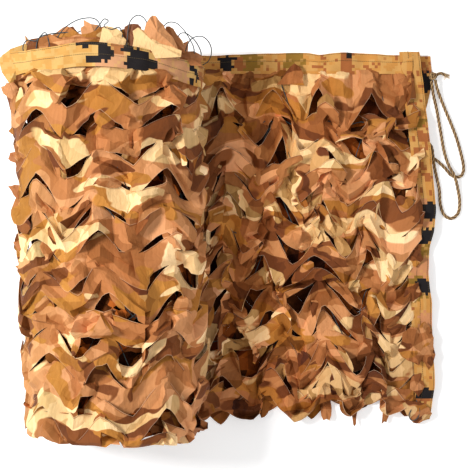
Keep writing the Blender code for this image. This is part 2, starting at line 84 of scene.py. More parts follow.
ROLL_FIRST_LINE = -8  # the frontmost line of cuts, counted from the hollow line
FLAP_FIRST_LINE = -10
TURN_DEPTH = 0.055  # how deep the inner turns' edge strips reach into the roll
FLAP_REPEAT = 0.1017  # the loose end is drawn in more than the roll's cover
FLAP_WAVE = 0.027
FLAP_INNER = -0.128
FLAP_OUTER = 0.400
FLAP_CREST_X = 0.197
FLAP_FRONT = -0.362  # in front of this the loose end's cloth is pushed together
FLAP_BACK = 0.3846
FLAP_HOLLOW_LINE = 0.209
LOWER_HOLLOW_LINE = 0.212
TAPE_WIDTH = 0.042
# The ends of the loose end's upper and lower layer, as (y, x).
END_LINE = [
    (-0.385, 0.424), (-0.315, 0.434), (-0.235, 0.430), (-0.140, 0.427), (-0.080, 0.420), (-0.020, 0.424),
    (0.010, 0.432), (0.050, 0.436), (0.110, 0.435), (0.200, 0.430), (0.290, 0.425), (0.390, 0.416),
]
LOWER_END_LINE = [
    (-0.340, 0.431), (0.000, 0.420), (0.110, 0.400), (0.215, 0.400), (0.280, 0.421), (0.330, 0.432),
    (0.3816, 0.427),
]
# How far the back tape's edge falls back, as (x, distance).
BACK_EDGE_DIPS = [
    (-0.062, 0.007), (-0.030, 0.007), (0.044, 0.005), (0.097, 0.0025), (0.139, 0.001), (0.171, 0.0025),
    (0.184, 0.0055), (0.192, 0.007), (0.200, 0.0055), (0.213, 0.003), (0.245, 0.001), (0.287, 0.002),
    (0.329, 0.006), (0.350, 0.007), (0.392, 0.006),
]
RIPPLES = [(0.0030, 38, 0.0), (0.0015, 83, 1.0)]  # height, rate and start of each ripple of the taped edges
ROPE_PASS = (0.175, 0.0055, 0.03)  # y, lift and spread of the end where the rope passes under it

ROPE_DIAMETER = 0.0070
ROPE_TWIST = 0.030
ROPE_ROUTE = [
    (0.4346, 0.3295, 0.0150), (0.4394, 0.3140, 0.0105), (0.4480, 0.2930, 0.0050), (0.4584, 0.2676, 0.0037),
    (0.4799, 0.2145, 0.0037), (0.4924, 0.1720, 0.0037), (0.4975, 0.1444, 0.0037), (0.4935, 0.1290, 0.0037),
    (0.4842, 0.1250, 0.0037), (0.4710, 0.1290, 0.0037), (0.4590, 0.1425, 0.0037), (0.4430, 0.1580, 0.0037),
    (0.4300, 0.1665, 0.0037), (0.4180, 0.1740, 0.0037), (0.4115, 0.1850, 0.0037), (0.4150, 0.1960, 0.0037),
    (0.4240, 0.1960, 0.0044), (0.4295, 0.1850, 0.0085), (0.4312, 0.1670, 0.0113), (0.4345, 0.1480, 0.0075),
    (0.4400, 0.1260, 0.0038), (0.4459, 0.0976, 0.0037), (0.4480, 0.0680, 0.0037), (0.4560, 0.0450, 0.0037),
    (0.4714, 0.0370, 0.0037), (0.4860, 0.0490, 0.0037), (0.4890, 0.0740, 0.0037), (0.4844, 0.1010, 0.0060),
    (0.4765, 0.1270, 0.0113), (0.4650, 0.1500, 0.0064), (0.4560, 0.1800, 0.0037), (0.4490, 0.2190, 0.0037),
    (0.4440, 0.2480, 0.0037), (0.4390, 0.2740, 0.0042), (0.4325, 0.2990, 0.0080), (0.4283, 0.3285, 0.0095),
]
KNOT_AT = (0.4312, 0.3380, 0.0120)
ROPE_END_ROUTE = [
    (0.4397, 0.3405, 0.0122), (0.4460, 0.3440, 0.0095), (0.4540, 0.3430, 0.0058), (0.4610, 0.3400, 0.0040),
]

CORD_SPACING = 0.002  # between the points of a smoothed route

# The camera looks straight down at this spot of the floor.
VIEW_X = 0.0124
VIEW_Y = 0.002
FLOOR_REACH = 6.0

# How the cloth behaves while it settles, in Blender's own names.
SETTLE_FRAMES = 44
CLOTH_BEHAVIOUR = {
    "quality": 5,
    "mass": 0.15,
    "tension_stiffness": 60,
    "compression_stiffness": 60,
    "shear_stiffness": 5,
    "bending_stiffness": 2,
    "air_damping": 2,
    "vertex_group_mass": "held",
}

# A piece's edges that turn more than this many degrees are drawn sharp.
CRISP = 14
HALF_CRISP = 30
SOFT_TAPE = 35
SOFT = 40

# Orders of a face's corners that turn it over.
FLIPPED = (3, 2, 1, 0)
FLIPPED_IN_PLACE = (0, 3, 2, 1)


# Small helpers


def smoothstep(low, high, value):
    t = np.clip((np.asarray(value, float) - low) / (high - low), 0.0, 1.0)
    return t * t * (3 - 2 * t)


def along_line(line, y):
    """x of a line of (y, x) pairs at y."""
    ys, xs = zip(*line)
    return np.interp(y, ys, xs)


def slow_lumps(x, y):
    """Slow unevenness from -1 to 1."""
    slowest = np.sin(31 * x + 17 * y + 0.6)
    return (slowest + np.sin(-23 * x + 41 * y + 2.1) + np.sin(53 * x - 29 * y + 4.0)) / 3


def cut_curve(phase):
    """Height of a leaf cut along the cloth, 1 at a crest and -1 in a hollow, with narrow tips."""
    turn = np.abs(np.mod(phase + math.pi, 2 * math.pi) - math.pi) / math.pi
    return TIP_SHARPNESS * (1 - 2 * turn) + (1 - TIP_SHARPNESS) * np.cos(phase)


def wandered(points, back, end=10.0):
    """Cloth points shifted a little, here more and there less, so that the rows of leaves don't run straight.

    The cloth keeps its place under the tape at its back edge and at its end."""
    x, y = points[:, 0], points[:, 1]
    free = smoothstep(back, back - 0.09, y) * smoothstep(end, end - 0.06, x)
    across = 0.0075 * (np.sin(13 * y - 6 * x + 0.4) + 0.7 * np.sin(29 * y + 9 * x + 1.0))
    along = 0.0095 * (np.sin(10 * x + 5 * y + 0.7) + 0.7 * np.sin(23 * x - 11 * y + 2.0))
    return np.stack([x + free * across, y + free * along, points[:, 2]], axis=1)


def smooth_route(points, spacing):
    """Points at even spacing on a smooth curve through a route's own points."""
    points = np.array(points)
    padded = np.vstack([2 * points[0] - points[1], points, 2 * points[-1] - points[-2]])
    fine = []
    for i in range(1, len(padded) - 2):
        p0, p1, p2, p3 = padded[i - 1 : i + 3]
        for t in np.linspace(0, 1, 12, endpoint=False):
            fine.append(
                0.5
                * (
                    2 * p1
                    + (p2 - p0) * t
                    + (2 * p0 - 5 * p1 + 4 * p2 - p3) * t**2
                    + (3 * p1 - p0 - 3 * p2 + p3) * t**3
                )
            )
    fine.append(padded[-2])
    fine = np.array(fine)
    steps = np.linalg.norm(np.diff(fine, axis=0), axis=1)
    along = np.concatenate([[0], np.cumsum(steps)])
    wanted = np.linspace(0, along[-1], round(along[-1] / spacing) + 1)
    return np.stack([np.interp(wanted, along, fine[:, k]) for k in range(3)], axis=1)


def length_of(points):
    return float(np.linalg.norm(np.diff(np.array(points), axis=0), axis=1).sum())


def metres(*lengths):
    """Lengths in millimetres as metres."""
    return [length / 1000 for length in lengths]


def rectangle(low, high, z):
    """Corners of a level rectangle."""
    return [(low[0], low[1], z), (high[0], low[1], z), (high[0], high[1], z), (low[0], high[1], z)]


def grid_faces(rows, columns, closed=False, order=(0, 1, 2, 3), start=0):
    """Faces between rows of points, from the point at start on. A closed row's end joins its beginning."""
    faces = []
    for row in range(rows - 1):
        for k in range(columns if closed else columns - 1):
            here = start + row * columns + k
            after = start + row * columns + (k + 1) % columns
            corners = (here, after, after + columns, here + columns)
            faces.append(tuple(corners[corner] for corner in order))
    return faces


def placed(name, data):
    """A new object in the scene, at the origin."""
    made = bpy.data.objects.new(name, data)
    bpy.context.scene.collection.objects.link(made)
    return made


def smoothed(mesh, smooth_angle):
    mesh.shade_smooth()
    if smooth_angle is not None:
        mesh.set_sharp_from_angle(angle=math.radians(smooth_angle))


def new_object(name, points, faces, finish, uv=None, smooth_angle=None):
    """A mesh object with a UV map from one place for each point."""
    mesh = bpy.data.meshes.new(name)
    mesh.from_pydata([tuple(map(float, p)) for p in points], [], [tuple(map(int, f)) for f in faces])
    if uv is not None:
        layer = mesh.uv_layers.new(name="cloth")
        corners = np.empty(len(mesh.loops), dtype=np.int32)
        mesh.loops.foreach_get("vertex_index", corners)
        layer.data.foreach_set("uv", np.asarray(uv, dtype=np.float32)[corners].ravel())
    mesh.materials.append(finish)
    smoothed(mesh, smooth_angle)
    return placed(name, mesh)


def applied(made, smooth_angle=None):
    """Turns an object's modifiers into plain mesh."""
    graph = bpy.context.evaluated_depsgraph_get()
    mesh = bpy.data.meshes.new_from_object(made.evaluated_get(graph), depsgraph=graph)
    old = made.data
    made.modifiers.clear()
    made.data = mesh
    bpy.data.meshes.remove(old)
    smoothed(mesh, smooth_angle)
    return made


def refined(made, levels, thickness, smooth_angle):
    """Subdivides a piece and gives it its thickness."""
    if levels:
        finer = made.modifiers.new("finer", "SUBSURF")
        finer.levels = finer.render_levels = levels
        finer.boundary_smooth = "PRESERVE_CORNERS"
    thick = made.modifiers.new("thickness", "SOLIDIFY")
    thick.thickness = thickness
    thick.offset = 0.0
    return applied(made, smooth_angle)


def reworked(made, change):
    """Lets a function change a piece's mesh in its editable form."""
    work = bmesh.new()
    work.from_mesh(made.data)
    change(work)
    work.to_mesh(made.data)
    work.free()


# Materials


class Value:
    """A shader socket that works in Python arithmetic."""

    def __init__(self, finish, socket):
        self.finish = finish
        self.socket = socket

    def maths(self, operation, *values):
        return self.finish.node("ShaderNodeMath", {"operation": operation}, dict(enumerate(values)))

    def __add__(self, other):
        return self.maths("ADD", self, other)

    __radd__ = __add__

    def __mul__(self, other):
        return self.maths("MULTIPLY", self, other)

    __rmul__ = __mul__

    def __sub__(self, other):
        return self.maths("SUBTRACT", self, other)

    def __rsub__(self, other):
        return self.maths("SUBTRACT", other, self)

    def __truediv__(self, other):
        return self.maths("DIVIDE", self, other)

    def over(self, edge):
        return self.maths("GREATER_THAN", self, edge)

    def under(self, edge):
        return self.maths("LESS_THAN", self, edge)

    def most(self, other):
        return self.maths("MAXIMUM", self, other)

    def least(self, other):
        return self.maths("MINIMUM", self, other)

    def sine(self):
        return self.maths("SINE", self)

    def cosine(self):
        return self.maths("COSINE", self)

    def power(self, exponent):
        return self.maths("POWER", self, exponent)

    def size(self):
        return self.maths("ABSOLUTE", self)

    def floor(self):
        return self.maths("FLOOR", self)

    def spread(self, low, high):
        """0 under low, 1 over high, and smooth between."""
        inputs = {"Value": self, "From Min": low, "From Max": high}
        return self.finish.node("ShaderNodeMapRange", {"interpolation_type": "SMOOTHSTEP"}, inputs)


class Finish:
    """A material, with the one method that makes its nodes."""

    def __init__(self, name, roughness=0.8, **constants):
        self.material = bpy.data.materials.new(name)
        self.material.use_nodes = True
        self.tree = self.material.node_tree
        self.shader = self.tree.nodes["Principled BSDF"]
        self.shader.inputs["Roughness"].default_value = roughness
        for key, value in constants.items():
            self.shader.inputs[key.replace("_", " ")].default_value = value

    def node(self, kind, settings=None, inputs=None, output=0):
        made = self.tree.nodes.new(kind)
        for key, value in (settings or {}).items():
            setattr(made, key, value)
        for key, value in (inputs or {}).items():
            self.feed(value, made.inputs[key])
        return Value(self, made.outputs[output])

    def feed(self, value, socket):
        if isinstance(value, Value):
            self.tree.links.new(value.socket, socket)
        elif socket.type == "RGBA":
            socket.default_value = (*value, 1.0)
        else:
            socket.default_value = value

    def uv(self):
        return self.node("ShaderNodeUVMap", {"uv_map": "cloth"})

    def place(self):
        return self.node("ShaderNodeTexCoord", output="Object")

    def split(self, vector):
        parts = self.node("ShaderNodeSeparateXYZ", inputs={0: vector})
        return [Value(self, output) for output in parts.socket.node.outputs]

    def join(self, x, y, z=0.0):
        return self.node("ShaderNodeCombineXYZ", inputs={0: x, 1: y, 2: z})

    def stretched(self, vector, scale, offset=(0, 0, 0), turn=0.0):
        inputs = {"Vector": vector, "Location": offset, "Rotation": (0, 0, turn), "Scale": scale}
        return self.node("ShaderNodeMapping", inputs=inputs)

    def noise(self, vector, scale, detail=2.0, roughness=0.5, warp=0.0):
        inputs = {"Vector": vector, "Scale": scale, "Detail": detail}
        inputs.update(Roughness=roughness, Distortion=warp)
        return self.node("ShaderNodeTexNoise", inputs=inputs)

    def grain(self, vector, scale, offset=(0, 0, 0), turn=0.0, detail=2.0, roughness=0.5, warp=0.0):
        """Noise on a pattern that is stretched more one way than the other."""
        return self.noise(self.stretched(vector, scale, offset, turn), 1.0, detail, roughness, warp)

    def cells(self, vector, output="Distance"):
        """Distance to the nearest of scattered points, or a random Color for each point's own cell."""
        inputs = {"Vector": vector, "Scale": 1.0}
        return self.node("ShaderNodeTexVoronoi", {"voronoi_dimensions": "2D"}, inputs, output)

    def mix(self, share, first, second, blend="MIX"):
        settings = {"data_type": "RGBA", "blend_type": blend}
        return self.node("ShaderNodeMix", settings, {0: share, 6: first, 7: second}, output=2)

    def tinted(self, colour, tint, share=1.0):
        return self.mix(share, colour, tint, "MULTIPLY")

    def colour(self, value):
        self.feed(value, self.shader.inputs["Base Color"])

    def roughness(self, value):
        self.feed(value, self.shader.inputs["Roughness"])

    def bump(self, height, distance, strength=0.9):
        inputs = {"Strength": strength, "Distance": distance, "Height": height}
        self.feed(self.node("ShaderNodeBump", inputs=inputs), self.shader.inputs["Normal"])


def linear(colour):
    """A screen colour, 0 to 255 a channel, as the renderer's numbers."""
    shares = [c / 255 for c in colour]
    return tuple(c / 12.92 if c <= 0.04045 else ((c + 0.055) / 1.055) ** 2.4 for c in shares)


# The roll's shape


def roll_section():
    """Arc length, place round the axis and way out, from the middle of the underside up the left side."""
    turn = np.linspace(0, 2 * math.pi, 4001)
    across, up = -np.sin(turn), -np.cos(turn)
    power = 2 / ROLL_SQUARENESS
    x = ROLL_HALF_WIDTH * np.copysign(np.abs(across) ** power, across)
    z = np.maximum(ROLL_HALF_HEIGHT * np.copysign(np.abs(up) ** power, up), -ROLL_AXIS_Z)
    places = np.stack([x, z], axis=1)
    along = np.concatenate([[0], np.cumsum(np.linalg.norm(np.diff(places, axis=0), axis=1))])
    even = np.linspace(0, along[-1], 801)
    places = np.stack([np.interp(even, along, places[:, k]) for k in range(2)], axis=1)
    ahead = np.roll(places[:-1], -1, axis=0) - np.roll(places[:-1], 1, axis=0)
    ahead /= np.linalg.norm(ahead, axis=1)[:, None]
    out = np.stack([-ahead[:, 1], ahead[:, 0]], axis=1)
    return even, places, np.vstack([out, out[:1]])


ARC, SECTION, OUTWARD = roll_section()
GIRTH = float(ARC[-1])


def section_at(u):
    u = np.mod(u, GIRTH)
    place = [np.interp(u, ARC, SECTION[:, k]) for k in range(2)]
    out = [np.interp(u, ARC, OUTWARD[:, k]) for k in range(2)]
    return (*place, *out)


def wound(u, y, h, inset=0.0, share=1.0):
    """Points round the roll: u is the arc length from the middle of the underside, and h the height over it.

    Past the roll's front the cloth turns in over the roll's rounded end."""
    u, y, h = (np.asarray(a, float) for a in (u, y, h))
    across, up, out_x, out_z = section_at(u)
    rough = smoothstep(0.030, 0.070, ROLL_AXIS_Z + up)
    h = (h - inset + 0.004 * slow_lumps(u * 1.6, y)) * rough - 0.0015 * (1 - rough)
    past = np.maximum(ROLL_FRONT - y, 0.0)
    bend = np.minimum(past / ROLL_EDGE_ROUND, math.pi / 2)
    inward = ROLL_EDGE_ROUND * (1 - np.cos(bend)) + np.maximum(past - ROLL_EDGE_ROUND * math.pi / 2, 0.0)
    keep = (1 - inward / np.hypot(across, up)) * share
    flare = ROLL_FLARE * y / ROLL_BACK * smoothstep(ROLL_FLARE_FROM, -ROLL_HALF_WIDTH, across)
    x = ROLL_AXIS_X + across * keep + out_x * h * np.cos(bend) - flare
    z = ROLL_AXIS_Z + up * keep + out_z * h * np.cos(bend)
    y = np.where(past > 0, ROLL_FRONT - ROLL_EDGE_ROUND * np.sin(bend) - h * np.sin(bend) * 0.6, y)
    return np.stack([x, y, np.maximum(z, 0.0009)], axis=-1)


def roll_underside(x):
    """Height of the roll's right flank over a place on the floor."""
    low = ARC > 0.75 * GIRTH
    xs, zs = SECTION[low, 0][::-1] + ROLL_AXIS_X, SECTION[low, 1][::-1] + ROLL_AXIS_Z
    height = np.interp(x, xs, zs)
    return np.where(np.asarray(x) > xs[-1], 1.0, height)


def edge_level(along):
    """Middle height of the upper layer's taped edges, which ripple."""
    return 0.014 + sum(high * np.sin(rate * np.asarray(along) + phase) for high, rate, phase in RIPPLES)


def end_level(y):
    middle, lift, spread = ROPE_PASS
    return edge_level(y) + lift * np.exp(-(((np.asarray(y) - middle) / spread) ** 2))


# The cut cloth, flat


def cut_middle(line):
    """Phase of the middles of a line's cuts."""
    return math.pi if line % 2 == 0 else 0.0


def steps_from(phase, middle):
    """Columns between a phase and the nearest middle."""
    turn = (phase - middle + math.pi) % (2 * math.pi) - math.pi
    return round(turn / (2 * math.pi) * COLUMNS)


def cut_share(line, phase):
    """1 at the middle of a line's cuts, less to its sides and 0 between two cuts."""
    bend = -math.cos(phase) if line % 2 == 0 else math.cos(phase)
    return max(0.0, (bend + 0.5) / 1.5)


def cloth_rows(front_line, back_line, hollow_y, back_edge, back_rows, rest_step):
    """Rows of points as (lines of cuts passed, y, y in the laid out cloth, share of the wave).

    Behind the last line of cuts the wave fades out up to the back edge."""
    rows = []
    for k in range(front_line * ROWS, back_line * ROWS + 1):
        rows.append((k / ROWS, hollow_y + k / ROWS * ROW_STEP, k / ROWS * rest_step, 1.0))
    _, last_y, last_rest, _ = rows[-1]
    for r in range(1, back_rows + 1):
        way = (back_edge - last_y) * r / back_rows
        rest_y = last_rest + way * rest_step / ROW_STEP
        rows.append((back_line + 0.999 * r / back_rows, last_y + way, rest_y, 1 - r / back_rows))
    return rows


def cut_cloth(xs, crest_x, front_line, back_line, hollow_y, back_edge, back_rows, sizes, seed):
    """Flat cloth with open leaf cuts: points of a grid that follows the waves of the cuts.

    Gives each point's place when laid out, its held place, its place on the UV map and whether it is held,
    the faces, and the points of each cut's two rims."""
    rng = np.random.default_rng(seed)
    rows = cloth_rows(front_line, back_line, hollow_y, back_edge, back_rows, sizes["rest_step"])
    phases = 2 * math.pi * (np.asarray(xs) - crest_x) / sizes["repeat"]
    last_row, last_column = len(rows) - 1, len(xs) - 1
    lively = {}

    def liveliness(line, column):
        """How much a rim or leaf stands out, which way and how skewed, the same for all of its points."""
        key = (line, round((column - (COLUMNS // 2 if line % 2 == 0 else 0)) / COLUMNS))
        if key not in lively:
            flip = -1.0 if rng.random() < sizes["flipped"] else 1.0
            lively[key] = (rng.uniform(0.4, 1.6), flip, rng.normal(0, sizes["skew"]))
        return lively[key]

    laid_out, held, printed, pins, index = [], [], [], [], {}
    for r, (t, y, rest_y, wave) in enumerate(rows):
        line = math.floor(t + 1e-6)
        on_line = abs(t - round(t)) < 1e-6
        for i, (x, phase) in enumerate(zip(xs, phases)):
            inside = 0 < r < last_row and 0 < i < last_column
            is_cut = on_line and inside and abs(steps_from(phase, cut_middle(line))) <= CUT_REACH
            for side in ("low", "high") if is_cut else ("both",):
                index[(r, i, side)] = len(pins)
                curve = wave * float(cut_curve(phase))
                band = line - 1 if side == "low" else line
                if on_line:
                    near, of_line = (cut_share(line, phase) if is_cut else 0.0), line
                else:
                    ahead = t - line
                    near = cut_share(line, phase) * (1 - ahead) + cut_share(line + 1, phase) * ahead
                    of_line = line if ahead < 0.5 else line + 1
                big, flip, skew = liveliness(of_line, i)
                aside = steps_from(phase, cut_middle(of_line)) / CUT_REACH
                rise = sizes["rim_rise"] if band % 2 else -sizes["leaf_dip"] * flip
                height = sizes["held_height"] + near * (rise * big + skew * aside) + rng.normal(0, 0.001)
                hold, shift = 0.0, (0.0, 0.0)
                if i in (0, last_column) or r == last_row:
                    hold, height = 1.0, sizes["edge_height"]
                elif on_line and side == "both" and steps_from(phase, cut_middle(line) + math.pi) == 0:
                    if rng.random() > sizes["loose"]:
                        hold = 1.0
                    shift = rng.normal(0, sizes["shift"], 2)
                    height = sizes["held_height"] + rng.uniform(-1, 1) * sizes["held_spread"]
                height = max(height, 0.001)
                waved = y + sizes["wave"] * curve
                laid_out.append((x / sizes["slack_along"], rest_y + sizes["rest_wave"] * curve, height))
                held.append((x + shift[0], waved + shift[1], height))
                printed.append((x, waved))
                pins.append(hold)
    faces = []
    for r in range(last_row):
        for i in range(last_column):
            corners = ((r, i, "high"), (r, i + 1, "high"), (r + 1, i + 1, "low"), (r + 1, i, "low"))
            faces.append(tuple(index.get(corner, index.get((*corner[:2], "both"))) for corner in corners))
    rims = []
    for r, i, side in index:
        if side == "low" and steps_from(phases[i], cut_middle(round(rows[r][0]))) == 0:
            near_middle = range(i - CUT_REACH + 1, i + CUT_REACH)
            pair = [[index.get((r, k, rim)) for k in near_middle] for rim in ("low", "high")]
            if None not in pair[0] + pair[1]:
                rims.append(pair)
    laid_out, held = np.array(laid_out), np.array(held)
    laid_out[:, :2] += held[:, :2].mean(axis=0) - laid_out[:, :2].mean(axis=0)
    return {
        "laid_out": laid_out,
        "held": held,
        "uv": np.array(printed),
        "pins": np.array(pins),
        "faces": faces,
        "rims": rims,
    }


def settled(cloth):
    """Draws the held points of a flat cloth in to their places and lets the rest buckle and settle."""
    scene = bpy.context.scene
    mesh = bpy.data.meshes.new("settling")
    mesh.from_pydata(cloth["laid_out"].tolist(), [], cloth["faces"])
    moving = placed("settling", mesh)
    moving.shape_key_add(name="laid out")
    drawn_in = moving.shape_key_add(name="drawn in")
    drawn_in.data.foreach_set("co", cloth["held"].astype(np.float32).ravel())
    for value, at in ((0.0, 1), (1.0, SETTLE_FRAMES // 2)):
        drawn_in.value = value
        drawn_in.keyframe_insert("value", frame=at)
    group = moving.vertex_groups.new(name="held")
    group.add([int(i) for i in np.nonzero(cloth["pins"])[0]], 1.0, "REPLACE")
    modifier = moving.modifiers.new("cloth", "CLOTH")
    for name, value in CLOTH_BEHAVIOUR.items():
        setattr(modifier.settings, name, value)
    modifier.settings.effector_weights.gravity = 0.06
    modifier.collision_settings.distance_min = 0.0015
    modifier.point_cache.frame_start, modifier.point_cache.frame_end = 1, SETTLE_FRAMES
    low, high = cloth["laid_out"].min(axis=0) - 0.2, cloth["laid_out"].max(axis=0) + 0.2
    ground_mesh = bpy.data.meshes.new("ground")
    ground_mesh.from_pydata(rectangle(low, high, 0), [], [(0, 1, 2, 3)])
    ground = placed("ground", ground_mesh)
    ground.modifiers.new("solid", "COLLISION")
    ground.collision.thickness_outer = 0.002
    scene.frame_start, scene.frame_end = 1, SETTLE_FRAMES
    for at in range(1, SETTLE_FRAMES + 1):
        scene.frame_set(at)
    graph = bpy.context.evaluated_depsgraph_get()
    result = moving.evaluated_get(graph).data
    points = np.empty(len(result.vertices) * 3, dtype=np.float32)
    result.vertices.foreach_get("co", points)
    action = mesh.shape_keys.animation_data.action
    for old in (moving, ground):
        bpy.data.objects.remove(old)
    bpy.data.meshes.remove(mesh)
    bpy.data.meshes.remove(ground_mesh)
    bpy.data.actions.remove(action)
    scene.frame_set(1)
    return points.reshape(-1, 3).astype(float)


def eased(height, top):
    """Heights with what stands over the top pressed down."""
    return np.where(height > top, top + (height - top) * 0.35, height)


def creased(points, cloth, sizes):
    """Gathers the soft bends of settled cloth into creases between flatter panels.

    Each face is cut along its shorter diagonal. Faces that share a point pull their ways out together, the
    more the less they differ, and then the points move on to their faces. Gives points and triangles."""
    points = np.array(points, float)
    quads = np.array(cloth["faces"])
    a, b, c, d = (points[quads[:, k]] for k in range(4))
    short = (np.linalg.norm(a - c, axis=1) <= np.linalg.norm(b - d, axis=1))[:, None]
    first_half = np.where(short, quads[:, [0, 1, 2]], quads[:, [0, 1, 3]])
    second_half = np.where(short, quads[:, [0, 2, 3]], quads[:, [1, 2, 3]])
    faces = np.vstack([first_half, second_half])
    of_face, of_point = np.repeat(np.arange(len(faces)), 3), faces.ravel()
    order = np.argsort(of_point, kind="stable")
    sorted_face, sorted_point = of_face[order], of_point[order]
    pairs = []
    for s in range(1, 10):
        same = sorted_point[s:] == sorted_point[:-s]
        pairs.append(np.stack([sorted_face[s:][same], sorted_face[:-s][same]]))
    pairs = np.hstack(pairs)
    one, other = np.unique(np.hstack([pairs, pairs[::-1]]), axis=1)
    normals = np.cross(points[faces[:, 1]] - points[faces[:, 0]], points[faces[:, 2]] - points[faces[:, 0]])
    size = np.linalg.norm(normals, axis=1)[:, None]
    normals /= np.maximum(size, 1e-12)
    for _ in range(sizes["crease_rounds"]):
        apart = ((normals[one] - normals[other]) ** 2).sum(axis=1)
        near = np.exp(-apart / (2 * sizes["crease"] ** 2)) * size[other, 0]
        total = normals * size
        for k in range(3):
            total[:, k] += np.bincount(one, near * normals[other, k], len(faces))
        normals = total / np.maximum(np.linalg.norm(total, axis=1), 1e-12)[:, None]
    around = np.maximum(np.bincount(of_point, minlength=len(points)), 1)
    share = np.where(cloth["pins"] > 0, 0.3, 1.0) / around
    for _ in range(12):
        way = points[faces].mean(axis=1)[of_face] - points[of_point]
        push = normals[of_face] * (normals[of_face] * way).sum(axis=1)[:, None]
        for k in range(3):
            points[:, k] += share * np.bincount(of_point, push[:, k], len(points))
    return points, faces.tolist()


def with_leaves(points, faces, cloth, sizes, seed):
    """Adds small leaves at the cuts.

    Each hangs from one rim and lies in under the other, or is folded up over it."""
    rng = np.random.default_rng(seed)
    uv = cloth["uv"]
    new_points, new_uv, new_faces = list(points), list(uv), list(faces)
    for front_rim, back_rim in cloth["rims"]:
        for _ in range(2):
            if rng.random() > sizes["leaf_share"]:
                continue
            width = int(rng.integers(4, 7))
            first = int(rng.integers(0, len(front_rim) - width + 1))
            back_to_front = rng.random() < 0.5
            root = (back_rim if back_to_front else front_rim)[first : first + width]
            way_y = -1 if back_to_front else 1
            stands = rng.random() < sizes["leaf_stands"]
            reach = sizes["leaf_reach"] * rng.uniform(0.6, 1.15) * (0.8 if stands else 1.0)
            lean, fold = rng.uniform(-0.45, 0.45), rng.normal(0, 0.005)
            first_v = STANDING_V if stands else SUNK_V
            print_shift = np.array([rng.uniform(0, 1), first_v + rng.uniform(0, 1)])
            middle = points[root].mean(axis=0)
            start = len(new_points)
            for along, narrow in ((0.0, 1.0), (0.4, 1.02), (0.75, 0.72), (1.0, 0.10)):
                for k, rim_point in enumerate(root):
                    place = middle + (points[rim_point] - middle) * narrow
                    lift = 0.009 * math.sin(2.6 * along) if stands else -0.014 * along
                    across = 2 * k / (width - 1) - 1
                    place = place + np.array([lean * along, way_y * along, 0.0]) * reach
                    place[2] += lift + fold * across * along + rng.normal(0, 0.0008) * along
                    place[2] = max(place[2], 0.0012)
                    new_points.append(place)
                    new_uv.append(uv[rim_point] + print_shift + np.array([lean, way_y]) * along * reach)
            new_faces += grid_faces(4, width, order=(0, 1, 2, 3) if way_y > 0 else FLIPPED, start=start)
    return np.array(new_points), new_faces, np.array(new_uv)


def dressed(piece, slot, *nodes):
    """Rides a piece on the one body, and hides the solids it stands for.

    slot, the slot of its finish, is not used.
    """
    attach(piece, "root")
    for node in nodes:
        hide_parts(node)


def flat_area(cloth):
    """Area of the cloth as it was cut."""
    p = cloth["laid_out"][:, :2]
    f = np.array(cloth["faces"])
    a, b = p[f[:, 2]] - p[f[:, 0]], p[f[:, 3]] - p[f[:, 1]]
    return float(np.abs(a[:, 0] * b[:, 1] - a[:, 1] * b[:, 0]).sum() / 2)


def spread_area(points, faces):
    """Area of a piece's own surface, for a piece that is modelled as it lies."""
    p = np.array([tuple(q) for q in points], float)
    quads = [face for face in faces if len(face) == 4]
    return float(sum(np.linalg.norm(np.cross(p[c] - p[a], p[d] - p[b])) / 2 for a, b, c, d in quads))


def declare_cut_sheet(cloth):
    """Works out the size and area of the cloth that a sheet was cut to, and keeps neither."""
    size = np.ptp(cloth["laid_out"][:, :2], axis=0)
    area = min(flat_area(cloth), float(size[0] * size[1]))


def declare_own_sheet(points, faces, length, rests_on):
    """Works out a sheet's own area over its length, and keeps nothing of it."""
    spread_area(points, faces) / length


# The settings


def size(name, default, description, low=0.0, high=1.0):
    return bpy.props.FloatProperty(
        name=name, default=default, description=description, min=low, max=high, unit="LENGTH", precision=4
    )


def share(name, default, description, low=0.0, high=2.0):
    return bpy.props.FloatProperty(name=name, default=default, description=description, min=low, max=high)


def paint(name, red, green, blue, description):
    return bpy.props.FloatVectorProperty(
        name=name,
        default=linear((red, green, blue)),
        description=description,
        subtype="COLOR",
        size=3,
        min=0.0,
        max=1.0,
    )


